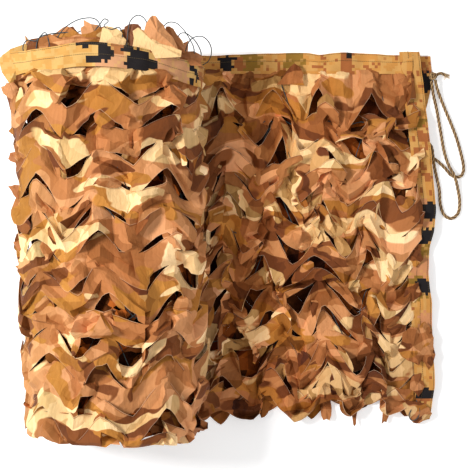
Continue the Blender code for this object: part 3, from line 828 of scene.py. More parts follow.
class ShadeNetCloth(bpy.types.PropertyGroup):
    """Sizes of the cut-leaf cloth."""

    wave: size("Wave", WAVE, "Half the height of a cut's curve")
    slack_along: share("Drawn in", 0.87, "Held width of the cloth as a share of its cut width")
    rest_step: size("Row step, cut", 0.0570, "From one row of cuts to the next in the flat cloth")
    rest_wave: size("Wave, cut", 0.026, "Half the height of a cut's curve in the flat cloth")
    rim_rise: size("Rim rise", 0.010, "How far a cut's rim first stands up")
    leaf_dip: size("Leaf dip", 0.018, "How far a leaf's tip first sinks in")
    held_height: size("Held height", 0.022, "Height of the points that the twine holds")
    held_spread: size("Held spread", 0.014, "Unevenness of that height")
    edge_height: size("Edge height", 0.008, "Height of the cloth's edge under the tape")
    shift: size("Shift", 0.009, "Unevenness of where the twine holds the cloth")
    loose: share("Loose", 0.10, "Share of the ties that have come loose", 0, 1)
    flipped: share("Flipped", 0.38, "Share of the leaves that stand up", 0, 1)
    skew: size("Skew", 0.018, "How unevenly a leaf's two sides stand")
    leaf_share: share("Leaf share", 0.62, "How likely a cut is to have each of its two small leaves", 0, 1)
    leaf_stands: share("Leaves up", 0.34, "Share of the small leaves that are folded up", 0, 1)
    leaf_reach: size("Leaf reach", 0.030, "Length of a small leaf")
    crease: share("Crease", 0.28, "How sharp a bend gathers into a crease", 0.05, 1)
    crease_rounds: bpy.props.IntProperty(
        name="Crease rounds", default=7, min=0, description="Rounds of gathering"
    )
    thickness: size("Thickness", 0.0006, "Thickness of the cloth")
    brown: paint("Brown", 174, 112, 62, "Ground colour of the cloth")
    tan: paint("Tan", 205, 145, 94, "Lighter ground colour")
    ochre: paint("Ochre", 178, 119, 48, "Yellowish patches")
    cream: paint("Cream", 238, 203, 147, "Pale patches")
    dark: paint("Dark brown", 122, 68, 28, "Dark patches")
    # Painted shade: the same cloth darkened on the loose end beside the roll, and more on the loose end's
    # lower layer and in the turns under the cover.
    loose_end_painted_shade: share("Loose end tone", 0.90, "How bright the loose end's cloth is beside the roll's")
    under_painted_shade: share("Under tone", 0.27, "How bright the loose end's lower layer looks")
    inner_painted_shade: share("Inner tone", 0.44, "How bright the cloth looks in the turns under the cover")


class ShadeNetTape(bpy.types.PropertyGroup):
    """The binding tape."""

    width: size("Width", TAPE_WIDTH, "Width of the tape")
    thickness: size("Thickness", 0.0011, "Thickness of the tape")
    cell: size("Cell", 0.0061, "Side of the pattern's small squares")
    cream: paint("Cream", 212, 169, 101, "Pale squares")
    tan: paint("Tan", 208, 156, 84, "Tan squares")
    pink: paint("Pink", 206, 150, 108, "Pinkish squares")
    brown: paint("Brown", 170, 108, 62, "Brown squares")
    olive: paint("Olive", 150, 120, 50, "Olive squares")
    black: paint("Black", 34, 30, 31, "Near-black squares")
    stitch_pitch: size("Stitch pitch", 0.0042, "From one stitch to the next")
    stitch_length: size("Stitch length", 0.0032, "Length of a stitch on top")
    thread: size("Thread", 0.0004, "Radius of the sewing thread")
    thread_paint: paint("Thread", 96, 78, 40, "Sewing thread")


class ShadeNetTwine(bpy.types.PropertyGroup):
    """The backing net's twine."""

    diameter: size("Diameter", 0.0021, "Diameter of the twine")
    colour: paint("Twine", 40, 52, 56, "Dark grey-green twine")


class ShadeNetRope(bpy.types.PropertyGroup):
    """The rope tie."""

    diameter: size("Diameter", ROPE_DIAMETER, "Diameter of the rope")
    twist: size("Twist", ROPE_TWIST, "Length of one turn of the strands")
    groove: share("Groove", 0.30, "Depth of the grooves between strands, as a share of the radius", 0, 1)
    # Painted highlight where the strands catch the light, and painted shade in the grooves.
    light: paint("Rope light", 200, 164, 112, "Fibres that catch the light")
    dark: paint("Rope dark", 96, 66, 38, "Fibres in the grooves")


class ShadeNetStage(bpy.types.PropertyGroup):
    """Camera and studio."""

    camera_height: size("Camera height", 2.3, "Height of the camera over the floor", 0.5, 10)
    lens: bpy.props.FloatProperty(
        name="Lens", default=82.9, description="Focal length in millimetres", unit="CAMERA"
    )
    key_power: bpy.props.FloatProperty(
        name="Key light", default=80.0, description="Power of the main soft light"
    )
    fill_power: bpy.props.FloatProperty(
        name="Fill light", default=15.0, description="Power of the soft light opposite"
    )
    floor_light: share("Floor light", 0.30, "How much the floor itself shines")
    sky: share("Surroundings", 0.54, "Brightness of the pale surroundings")


def settings(name):
    return getattr(bpy.context.scene, "shade_net_" + name)


def values_of(group):
    names = [name for name in group.bl_rna.properties.keys() if name not in ("rna_type", "name")]
    return {name: getattr(group, name) for name in names}


# Finishes


WHITE = (1.0, 1.0, 1.0)


def camouflage_print(finish, colours, bent, offset, deep):
    """Brown and tan ground with ochre, dark and cream patches."""
    shift_u, shift_v, _ = offset

    def patches(scale, at, edge):
        grain = finish.grain(bent, scale, at, detail=1.0, roughness=0.4, warp=0.4)
        return grain.spread(edge - 0.008, edge + 0.008)

    ground = finish.mix(patches((8, 17, 1), (3.1 + shift_u, 1.7, 0.3), 0.49), colours.brown, colours.tan)
    ground = finish.mix(patches((10, 17, 1), (5.3 + shift_u, 8.8, 1.1), 0.56), ground, colours.ochre)
    ground = finish.mix(patches((10, 18, 1), (7.7, 4.2 + shift_v, 2.3), 0.572), ground, colours.dark)
    # Painted shade: deep cloth's pale patches are tan instead of cream.
    pale = colours.tan if deep else colours.cream
    return finish.mix(patches((8.2, 14.5, 1), (1.2, 9.4, 5.1 + shift_u), 0.582), ground, pale)


def painted_light_over_net(finish, ground, x, y):
    """Painted light and shade over the net: a colour cast from the roll's left side to the loose end,
    with painted shade beside the roll and towards the loose end's front.
    """
    # Painted light: dimmer on the roll's left side, and warmer and darker on the loose end beside the roll.
    cast = finish.mix(x.spread(-0.42, -0.24), (0.91, 0.945, 0.89), (1.00, 0.965, 0.96))
    cast = finish.mix(x.spread(-0.05, 0.05), cast, (1.07, 0.925, 0.755))
    cast = finish.mix(x.spread(0.05, 0.32), cast, (1.04, 0.99, 0.955))
    # Painted shade towards the loose end's front.
    front = y.spread(-0.38, -0.13).most(1 - x.spread(-0.10, -0.02))
    return finish.tinted(finish.tinted(ground, cast), finish.mix(front, (0.70, 0.62, 0.54), WHITE))


def cut_edges(finish, ground, u, v, fade, cuts):
    """A painted shadow line in front of each leaf cut, and a pale line on its rim,
    partly fray and partly painted highlight.

    cuts gives where they lie on the UV map: (repeat, wave, crest, hollow, first, last)."""
    repeat, height, crest, hollow, first, last = cuts
    along = (u - crest) / repeat
    turn = ((along + 0.5) - (along + 0.5).floor() - 0.5).size() * 2
    wave = (1 - turn * 2) * TIP_SHARPNESS + (turn * math.pi + math.pi / 2).sine() * (1 - TIP_SHARPNESS)
    line = (v - hollow - wave * height) / ROW_STEP + 0.5
    beyond = (line - line.floor() - 0.5) * ROW_STEP
    odd = (line.floor() * 0.5 - (line.floor() * 0.5).floor()) * 2
    inside = (turn * (1 - 2 * odd) + odd).over(1 - 2 * CUT_REACH / COLUMNS)
    at_cut = inside * line.over(first) * line.under(last + 1)
    # Painted shadow: a dark line just in front of the cut, under the rim that lies over it.
    painted_shadow_line = beyond.over(-0.0032) * beyond.under(-0.0008) * at_cut
    ground = finish.mix(painted_shadow_line * 0.6, ground, finish.tinted(ground, (0.42, 0.28, 0.16)))
    # A pale line on the rim, partly fray and partly painted highlight.
    return finish.mix(beyond.size().under(0.0008) * at_cut * fade * 0.6, ground, (0.9, 0.66, 0.45))


def cloth_finish(name, colours, tone, offset, cuts=None, deep=False, front=None):
    """Printed cloth, creased, with a fine weave, and painted shade on its creased panels.

    Deep cloth lies in the shade of other cloth, and that shade is painted in: darker and lighter panels,
    browner, with tan for the print's pale patches. Where y is under the value in front, it takes the loose
    end's painted shade instead."""
    finish = Finish(name, roughness=0.74, Specular_IOR_Level=0.06 if deep else 0.22)
    uv = finish.uv()
    wander = finish.grain(uv, (14, 22, 9), offset)
    slope = finish.grain(uv, (5, 5, 1), (offset[1], offset[0], 0), detail=1.0)
    u, v, _ = finish.split(uv)
    x, y, _ = finish.split(finish.place())
    bent = finish.join(u + (wander - 0.5) * 0.05, v + (wander - 0.5) * 0.03 + (slope - 0.5) * 0.16)
    ground = camouflage_print(finish, colours, bent, offset, deep)
    fade = finish.noise(uv, 26.0, 4.0, 0.6)
    ground = finish.tinted(ground, finish.mix(fade, (0.62, 0.55, 0.48), WHITE), 0.5)
    panels = finish.stretched(bent, (38, 25, 1), offset, 0.35)
    # Painted shade: a brightness for each creased panel, as its slope would take the light.
    painted_panel_shade, _, _ = finish.split(finish.cells(panels, "Color"))
    streaks = finish.grain(uv, (240, 18, 1), offset, 0.15, 3.0)
    # The painted panel shade, with the fabric's own streaks.
    bright = painted_panel_shade * 0.52 + streaks * 0.34 + 0.60
    if cuts:
        # Stronger painted panel shade on the loose end beside the roll, in the roll's shadow.
        bright = bright + (painted_panel_shade - 0.44) * (x.spread(-0.08, 0.0) * (1.0 - 0.72 * x.spread(0.02, 0.20)))
    # Darker painted panels are also warmer.
    ground = finish.tinted(ground, finish.join(bright, bright.power(1.25), bright.power(1.8)))
    ground = painted_light_over_net(finish, ground, x, y)
    # Painted shade on the small leaves that lie sunk in under a rim.
    ground = finish.mix(v.over(SUNK_V - 1), ground, finish.tinted(ground, (0.66, 0.54, 0.40)))
    shade = (tone, tone * 0.97, tone * 0.93)
    if deep:
        # Painted shade of deep cloth: darker and lighter by panel, and browner.
        panel, _, _ = finish.split(finish.cells(finish.stretched(uv, (34, 22, 1), offset, 0.5), "Color"))
        lit = panel.spread(0.25, 1.0) * 1.9 + 0.35
        shade = finish.join(lit * tone, lit * (tone * 0.58), lit * (tone * 0.24))
    if front is not None:
        # Where y is under front, the loose end's painted shade takes the place of this one.
        shade = finish.mix(y.spread(front - 0.008, front + 0.016), (colours.loose_end_painted_shade,) * 3, shade)
    # Painted shade by tone, for cloth that lies in less light.
    ground = finish.tinted(ground, shade)
    if cuts:
        ground = cut_edges(finish, ground, u, v, fade, cuts)
    finish.colour(ground)
    ridges = (finish.grain(uv, (70, 40, 1), offset, 0.5) - 0.5).size()
    crumple = finish.cells(panels)
    threads = finish.grain(uv, (420, 50, 1))
    weave = (u * 5200).sine() * (v * 5200).sine()
    finish.bump(ridges * 0.45 + crumple * 0.45 + threads * 0.06 + weave * 0.008, 0.008)
    finish.roughness(0.62 + fade * 0.2)
    return finish.material


def plain_cloth(name, colour):
    """Cloth where one colour of its print fills the whole leaf."""
    finish = Finish(name, roughness=0.74)
    uv = finish.uv()
    fade = finish.noise(uv, 26.0, 4.0, 0.6)
    finish.colour(finish.tinted(colour, finish.mix(fade, (0.78, 0.70, 0.62), (1.0, 0.94, 0.86))))
    finish.bump((finish.grain(uv, (70, 40, 1)) - 0.5).size(), 0.005)
    return finish.material


def tape_finish(name, tape):
    """Woven tape printed with small squares, whose dark colours gather at the tape's spots."""
    finish = Finish(name, roughness=0.7, Specular_IOR_Level=0.12)
    uv = finish.uv()
    u, v, _ = finish.split(uv)
    column, row = (u / tape.cell).floor(), (v / tape.cell).floor()
    fine = finish.join(column, row)
    cell_at = finish.join((column + 0.5) * tape.cell, (row + 0.5) * tape.cell)
    blotch = finish.grain(fine, (0.16, 0.22, 1), detail=1.0)
    block = finish.grain(fine, (0.31, 0.37, 1), (3.1, 5.7, 0), detail=0.0)
    speck = finish.grain(fine, (0.57, 0.63, 1), (8.3, 2.2, 0), detail=0.0)

    def depth_in(spots):
        """1 in the middle of a spot, 0 at its rim and less outside."""
        nearest = None
        for spot in spots:
            u_at, reach_u, v_at, reach_v = metres(*spot)
            offset = (-u_at / reach_u, -v_at / reach_v, 0)
            way = finish.stretched(cell_at, (1 / reach_u, 1 / reach_v, 1), offset)
            away = finish.node("ShaderNodeVectorMath", {"operation": "LENGTH"}, {0: way}, "Value")
            nearest = away if nearest is None else nearest.least(away)
        return 1 - nearest.least(2.0)

    ground = finish.mix(block.over(0.5), tape.cream, tape.tan)
    ground = finish.mix((speck * 0.6 + blotch * 0.4).over(0.60) * u.over(0.49), ground, tape.brown)
    ragged = (speck - 0.5) * 1.1 + (block - 0.5) * 0.7
    for colour, spots in TAPE_SPOTS.items():
        if colour == "black":
            pale = (block * 0.55 + speck * 0.45).under(0.43)
            ground = finish.mix(pale, ground, finish.mix(0.45, ground, tape.cream))
            ground = finish.mix(u.over(1.5), ground, finish.tinted(ground, (0.97, 0.84, 0.75)))
        ground = finish.mix((depth_in(spots) + ragged).over(0.06), ground, getattr(tape, colour))
    wear = finish.noise(uv, 60.0, 3.0)
    finish.colour(finish.tinted(ground, finish.mix(wear, (0.6, 0.56, 0.5), WHITE), 0.45))
    weave = (u * 4200).sine() * (v * 4200).sine()
    finish.bump((finish.grain(uv, (45, 90, 1)) - 0.5).size() * 0.5 + weave * 0.02, 0.004)
    finish.roughness(0.62 + wear * 0.2)
    return finish.material


def twine_finish(name, twine):
    finish = Finish(name, roughness=0.5)
    place = finish.place()
    dark, light = (tuple(min(1.0, c * share) for c in twine.colour) for share in (0.55, 1.6))
    finish.colour(finish.mix(finish.noise(place, 240.0), dark, light))
    finish.bump(finish.noise(place, 900.0), 0.0004, 0.6)
    return finish.material


def thread_finish(name, tape):
    finish = Finish(name, roughness=0.6)
    shade = finish.noise(finish.place(), 500.0, 1.0)
    finish.colour(finish.mix(shade, tuple(c * 0.6 for c in tape.thread_paint), tape.thread_paint))
    return finish.material


def rope_finish(name, rope):
    """Three-strand rope, with painted highlight on the strands and painted shade in their grooves.
    Its UV map runs along the rope in metres, and round it with the twist.
    """
    finish = Finish(name, roughness=0.88)
    uv = finish.uv()
    _, v, _ = finish.split(uv)
    fibres = finish.grain(uv, (110, 60, 1), detail=3.0, roughness=0.6)
    # Painted highlight and shade: lighter on each strand's crown, darker in the grooves.
    strands = (v * (6 * math.pi)).cosine()
    stain = finish.noise(finish.place(), 45.0)
    light = (strands * 0.30 + fibres * 0.85 + stain * 0.35 - 0.15).spread(0.15, 0.95)
    finish.colour(finish.mix(light, rope.dark, rope.light))
    finish.bump(fibres, 0.0012)
    finish.roughness(0.8 + fibres * 0.15)
    return finish.material


def studio_floor_finish(name, studio):
    finish = Finish(name, roughness=0.9, Emission_Color=(*WHITE, 1.0), Emission_Strength=studio.floor_light)
    grain = finish.noise(finish.place(), 3.0)
    finish.colour(finish.mix(grain, (0.93, 0.935, 0.94), (0.95, 0.95, 0.95)))
    return finish.material


def finish_named(name, make, *given):
    """A finish that several pieces share, made once."""
    return bpy.data.materials.get(name) or make(name, *given)


def cloth_named(name, tone, offset=(0.0, 0.0, 0.0), cuts=None, deep=False, front=None):
    return finish_named(name, cloth_finish, settings("cloth"), tone, offset, cuts, deep, front)


def roll_cloth():
    cuts = (GIRTH / ROLL_REPEATS, WAVE, 0.0, ROLL_HOLLOW_LINE, ROLL_FIRST_LINE, 4)
    return cloth_named("camouflage_roll_look", 1.0, cuts=cuts)


# Cloth of the turns under the cover, darkened by painted shade.
def inner_cloth():
    return cloth_named("camouflage_inner_look", settings("cloth").inner_painted_shade, (2.2, 6.1, 0.0), deep=True)


# Cloth of the loose end's lower layer, darkened by painted shade.
def under_cloth():
    tone = settings("cloth").under_painted_shade
    return cloth_named("camouflage_under_look", tone, (7.4, 3.3, 0.0), deep=True, front=-0.335)


def turned_cloth():
    return cloth_named("camouflage_edge_look", 0.95, (1.1, 3.7, 0.0))


# Cloth of the loose end, darker than the roll's by painted shade.
def end_cloth():
    cuts = (FLAP_REPEAT, FLAP_WAVE, FLAP_CREST_X, FLAP_HOLLOW_LINE, FLAP_FIRST_LINE, 1)
    return cloth_named("camouflage_end_look", settings("cloth").loose_end_painted_shade, (4.3, 2.9, 0.0), cuts)


def end_leaf_cloth():
    return cloth_named("camouflage_leaf_look", settings("cloth").loose_end_painted_shade, (4.3, 2.9, 0.0))


def leaf_cloth(colour):
    return finish_named(f"camouflage_{colour}_look", plain_cloth, getattr(settings("cloth"), colour))


def tape_cloth():
    return finish_named("pixel_tape_look", tape_finish, settings("tape"))


def rope_look():
    return finish_named("hemp_rope_look", rope_finish, settings("rope"))


# Geometry node trees


class Tree:
    """A geometry node tree that grows a piece along guide lines, from sizes and a finish."""

    def __init__(self, name, sizes):
        self.tree = bpy.data.node_groups.new(name, "GeometryNodeTree")
        kinds = {"Geometry": "NodeSocketGeometry"}
        kinds.update(dict.fromkeys(sizes, "NodeSocketFloat"))
        kinds["Finish"] = "NodeSocketMaterial"
        for label, kind in kinds.items():
            self.tree.interface.new_socket(label, in_out="INPUT", socket_type=kind)
        self.tree.interface.new_socket("Geometry", in_out="OUTPUT", socket_type="NodeSocketGeometry")
        self.given = self.tree.nodes.new("NodeGroupInput").outputs

    def node(self, kind, inputs=None, **node_settings):
        """Adds a node, fed with values or with other nodes' outputs, and gives its own outputs."""
        made = self.tree.nodes.new(kind)
        for key, value in node_settings.items():
            setattr(made, key, value)
        for key, value in (inputs or {}).items():
            if isinstance(value, bpy.types.NodeSocket):
                self.tree.links.new(value, made.inputs[key])
            else:
                made.inputs[key].default_value = value
        return made.outputs

    def joined(self, *parts):
        both = self.tree.nodes.new("GeometryNodeJoinGeometry")
        for part in parts:
            self.tree.links.new(part, both.inputs["Geometry"])
        return both.outputs["Geometry"]

    def ended(self, geometry):
        """Ends the tree in real geometry with its finish."""
        real = self.node("GeometryNodeRealizeInstances", {"Geometry": geometry})
        inputs = {"Geometry": real["Geometry"], "Material": self.given["Finish"]}
        finished = self.node("GeometryNodeSetMaterial", inputs)
        self.node("NodeGroupOutput", {"Geometry": finished["Geometry"]})
        return self.tree


def stitch_tree():
    """Short stitches laid end to end along guide lines."""
    tree = Tree("sewn stitches", ("Pitch", "Stitch length", "Thread radius"))
    given = tree.given
    curve = tree.node("GeometryNodeMeshToCurve", {"Mesh": given["Geometry"]})
    spacing = {"Curve": curve["Curve"], "Length": given["Pitch"]}
    spaced = tree.node("GeometryNodeResampleCurve", spacing, mode="LENGTH")
    form = {"Vertices": 6, "Radius": given["Thread radius"], "Depth": given["Stitch length"]}
    stitch = tree.node("GeometryNodeMeshCylinder", form)
    tangent = tree.node("GeometryNodeInputTangent")
    turned = tree.node("FunctionNodeAlignRotationToVector", {"Vector": tangent["Tangent"]}, axis="Z")
    places = {"Points": spaced["Curve"], "Instance": stitch["Mesh"], "Rotation": turned["Rotation"]}
    return tree.ended(tree.node("GeometryNodeInstanceOnPoints", places)["Instances"])


def twine_tree():
    """Twine along guide lines, with a knot at every point marked as one."""
    tree = Tree("twine net", ("Twine radius", "Knot radius"))
    given = tree.given
    curve = tree.node("GeometryNodeMeshToCurve", {"Mesh": given["Geometry"]})
    round_form = {"Resolution": 5, "Radius": given["Twine radius"]}
    profile = tree.node("GeometryNodeCurvePrimitiveCircle", round_form)
    form = {"Curve": curve["Curve"], "Profile Curve": profile["Curve"]}
    tube = tree.node("GeometryNodeCurveToMesh", form)
    marked = tree.node("GeometryNodeInputNamedAttribute", {"Name": "knot"}, data_type="BOOLEAN")
    ties = {"Mesh": given["Geometry"], "Selection": marked["Attribute"]}
    spots = tree.node("GeometryNodeMeshToPoints", ties)
    ball = tree.node("GeometryNodeMeshIcoSphere", {"Subdivisions": 1, "Radius": given["Knot radius"]})
    places = {"Points": spots["Points"], "Instance": ball["Mesh"]}
    laid = tree.node("GeometryNodeInstanceOnPoints", places)
    return tree.ended(tree.joined(tube["Mesh"], laid["Instances"]))


def grown(name, points, edges, tree, inputs, marks=None):
    """A piece that a tree grows along guide lines, as plain mesh."""
    mesh = bpy.data.meshes.new(name)
    mesh.from_pydata([tuple(map(float, p)) for p in points], edges, [])
    if marks is not None:
        mesh.attributes.new("knot", "BOOLEAN", "POINT").data.foreach_set("value", marks)
    made = placed(name, mesh)
    modifier = made.modifiers.new("grown", "NODES")
    modifier.node_group = tree
    sockets = {item.name: item.identifier for item in tree.interface.items_tree if item.in_out == "INPUT"}
    for label, value in inputs.items():
        modifier[sockets[label]] = value
    return applied(made)


# Pieces


class SHADENET_OT_stage(bpy.types.Operator):
    """Adds the floor, the soft studio light and the camera"""

    bl_idname = "shade_net.stage"
    bl_label = "Stage"

    def execute(self, context):
        studio = settings("stage")
        scene = context.scene
        corners = rectangle((-FLOOR_REACH, -FLOOR_REACH), (FLOOR_REACH, FLOOR_REACH), -0.0004)
        finish = finish_named("studio_floor", studio_floor_finish, studio)
        new_object("studio_floor", corners, [(0, 1, 2, 3)], finish)
        camera = placed("camera", bpy.data.cameras.new("camera"))
        camera.location = (VIEW_X, VIEW_Y, studio.camera_height)
        camera.data.lens = studio.lens
        camera.data.sensor_width = 36
        scene.camera = camera
        for name, place, power, width in (
            ("key_light", (-1.86, 0.5, 2.15), studio.key_power, 0.7),
            ("fill_light", (1.8, -1.2, 2.2), studio.fill_power, 2.0),
        ):
            light = placed(name, bpy.data.lights.new(name, "AREA"))
            light.data.shape = "DISK"
            light.data.size = width
            light.data.energy = power
            light.location = place
            light.rotation_mode = "QUATERNION"
            light.rotation_quaternion = (Vector(place) - Vector((0, 0, 0.1))).to_track_quat("Z", "Y")
        world = bpy.data.worlds.new("pale_surroundings")
        world.use_nodes = True
        background = world.node_tree.nodes["Background"].inputs
        background["Color"].default_value = (*WHITE, 1.0)
        background["Strength"].default_value = studio.sky
        scene.world = world
        scene.view_settings.view_transform = "Standard"
        return {"FINISHED"}


def next_turn():
    """The turn that lies deepest behind the cover's cuts, without cuts of its own."""
    us, ys = np.linspace(0, GIRTH, 121), np.linspace(ROLL_FRONT + 0.012, ROLL_BACK - 0.046, 61)
    around, forward = (a.ravel() for a in np.meshgrid(us, ys, indexing="ij"))
    upper = smoothstep(0.27, 0.36, np.minimum(around, GIRTH - around) / GIRTH)
    sink = 0.003 + upper * (0.024 + 0.006 * np.sin(38 * around + 9 * np.sin(21 * forward)))
    points = wound(around, forward, -sink, COVER_INSET, 0.97)
    return points, grid_faces(len(us), len(ys)), np.stack([around + 0.11, forward], axis=1)


def inner_turn(points, cloth_faces, back):
    """The cover's cloth again, turned round the roll under it and flatter, so that its cuts lie elsewhere."""
    around = np.mod(points[:, 0] + 0.63 * GIRTH / ROLL_REPEATS, GIRTH)
    y = np.clip(points[:, 1] - 0.031, ROLL_FRONT - 0.03, back)
    wraps = np.ptp(around[np.array(cloth_faces)], axis=1) > 0.5
    faces = [face for face, crosses in zip(cloth_faces, wraps) if not crosses]
    return wound(around, y, points[:, 2] * 0.5, COVER_INSET + 0.016), faces


class SHADENET_OT_roll_cover(bpy.types.Operator):
    """Winds the cut cloth round the roll, with two inner turns under it"""

    bl_idname = "shade_net.roll_cover"
    bl_label = "Roll cover"

    def execute(self, context):
        sizes = values_of(settings("cloth"))
        sizes["repeat"] = GIRTH / ROLL_REPEATS
        xs = np.linspace(0, GIRTH, ROLL_REPEATS * COLUMNS + 1)
        tape_front = ROLL_BACK - TAPE_WIDTH
        last_line = math.floor((tape_front - WAVE - 0.016 - ROLL_HOLLOW_LINE) / ROW_STEP)
        lines = (ROLL_FIRST_LINE, last_line, ROLL_HOLLOW_LINE)
        cloth = cut_cloth(xs, 0.0, *lines, tape_front + 0.012, 6, sizes, 11)
        points, cloth_faces = creased(settled(cloth), cloth, sizes)
        cloth_count = len(points)
        points, faces, uv = with_leaves(points, cloth_faces, cloth, sizes, 41)
        points = wandered(points, tape_front)
        round_roll = points[:, 0] / GIRTH
        flank = smoothstep(0.10, 0.16, round_roll) * smoothstep(0.42, 0.34, round_roll)
        points[:, 2] = eased(points[:, 2], 0.034 - 0.013 * flank)
        cover = new_object("roll_cover", wound(*points.T, COVER_INSET), faces, roll_cloth(), uv)
        refined(cover, 0, sizes["thickness"], CRISP)
        dressed(cover, "camouflage_cloth", "net_roll")
        declare_cut_sheet(cloth)

        points, faces = inner_turn(points[:cloth_count], cloth_faces, tape_front + 0.02)
        inner = new_object("roll_inner_turn", points, faces, inner_cloth(), cloth["uv"], CRISP)
        dressed(inner, "camouflage_cloth", "net_roll")
        declare_cut_sheet(cloth)

        points, faces, uv = next_turn()
        under = new_object("roll_next_turn", points, faces, inner_cloth(), uv, HALF_CRISP)
        dressed(under, "camouflage_cloth", "net_roll")
        declare_own_sheet(points, faces, GIRTH, "roll_cover")
        return {"FINISHED"}


def laid_layer(crest_x, hollow_y, back_edge, sizes, seed, leafy, level, top):
    """One layer of the loose end. A leafy one is settled by the simulation and gets small leaves."""
    step = sizes["repeat"] / COLUMNS
    first, last = math.ceil((FLAP_INNER - crest_x) / step), math.floor((FLAP_OUTER - crest_x) / step)
    xs = crest_x + step * np.arange(first, last + 1)
    last_line = math.floor((back_edge - WAVE - 0.024 - hollow_y) / ROW_STEP)
    back_rows = max(3, round((back_edge - hollow_y - last_line * ROW_STEP) / ROW_STEP * ROWS))
    lines = (FLAP_FIRST_LINE, last_line, hollow_y)
    cloth = cut_cloth(xs, crest_x, *lines, back_edge, back_rows, sizes, seed)
    points, faces = creased(settled(cloth) if leafy else cloth["held"], cloth, sizes)
    uv = cloth["uv"]
    if leafy:
        points, faces, uv = with_leaves(points, faces, cloth, sizes, seed + 20)
    points = wandered(points, back_edge, FLAP_OUTER + 0.01)
    x, y, height = points.T
    past = y - FLAP_FRONT
    y = np.where(past < 0, past * (0.62 + 0.25 * np.sin(31 * x + 2)) + FLAP_FRONT, y)
    room = np.maximum(roll_underside(x) - 0.005, 0.0012)
    z = np.maximum(np.minimum(eased(level + height, top), room), 0.0008)
    return cloth, np.stack([x, y, z], axis=1), faces, uv


def front_fold():
    """The fold that joins the loose end's two layers at its front, from the upper layer down to the lower."""
    xs = np.arange(-0.02, 0.395, 0.008)
    profile = [
        (0.030, 1.0), (0.016, 1.05), (0.005, 0.85), (0.0, 0.5), (0.004, 0.15), (0.018, 0.02), (0.034, 0.02),
    ]
    points, uv = [], []
    for x in xs:
        front = -0.353 + 0.006 * math.sin(41 * x) + 0.004 * math.sin(97 * x + 1)
        tall = 0.018 + 0.005 * math.sin(33 * x + 2) + 0.003 * math.sin(78 * x)
        for k, (back, rise) in enumerate(profile):
            points.append((x, front + back, 0.0012 + tall * rise))
            uv.append((x, -0.4 + 0.012 * k))
    return points, grid_faces(len(xs), len(profile), order=FLIPPED_IN_PLACE), uv, float(np.ptp(xs))


class SHADENET_OT_loose_end(bpy.types.Operator):
    """Lays the loose end's two layers of cut cloth and the fold that joins them"""

    bl_idname = "shade_net.loose_end"
    bl_label = "Loose end"

    def execute(self, context):
        sizes = values_of(settings("cloth"))
        sizes.update(held_height=0.017, held_spread=0.012, leaf_dip=0.023, loose=0.20, edge_height=0.007)
        sizes.update(repeat=FLAP_REPEAT, wave=FLAP_WAVE, slack_along=0.74, rest_wave=0.0315)
        sizes.update(shift=0.013, skew=0.022, flipped=0.7, leaf_reach=0.034)
        place = (FLAP_CREST_X, FLAP_HOLLOW_LINE, FLAP_BACK - 0.034)
        cloth, points, faces, uv = laid_layer(*place, sizes, 23, True, 0.006, 0.036)
        upper = new_object("loose_end_upper", points, faces, end_cloth(), uv)
        refined(upper, 0, sizes["thickness"], CRISP)
        dressed(upper, "camouflage_cloth", "net_flap")
        declare_cut_sheet(cloth)

        sizes.update(held_height=0.004, held_spread=0.002, rim_rise=0.003, leaf_dip=0.002, slack_along=1.0)
        sizes.update(rest_step=ROW_STEP, rest_wave=WAVE, edge_height=0.001)
        sizes.update(flipped=0.3, skew=0.002, shift=0.002)
        place = (FLAP_CREST_X + 0.27 * FLAP_REPEAT, LOWER_HOLLOW_LINE, FLAP_BACK - 0.037)
        cloth, points, faces, uv = laid_layer(*place, sizes, 31, False, 0.0, 0.010)
        lower = new_object("loose_end_lower", points, faces, under_cloth(), uv, CRISP)
        dressed(lower, "camouflage_cloth", "net_flap")
        declare_cut_sheet(cloth)

        points, faces, uv, wide = front_fold()
        fold = new_object("loose_end_fold", points, faces, end_cloth(), uv)
        refined(fold, 1, sizes["thickness"], SOFT)
        dressed(fold, "camouflage_cloth", "net_flap")
        lay_leaves("loose_end_leaf", END_LEAVES, "net_flap", "loose_end_upper", end_leaf_cloth())
        return {"FINISHED"}


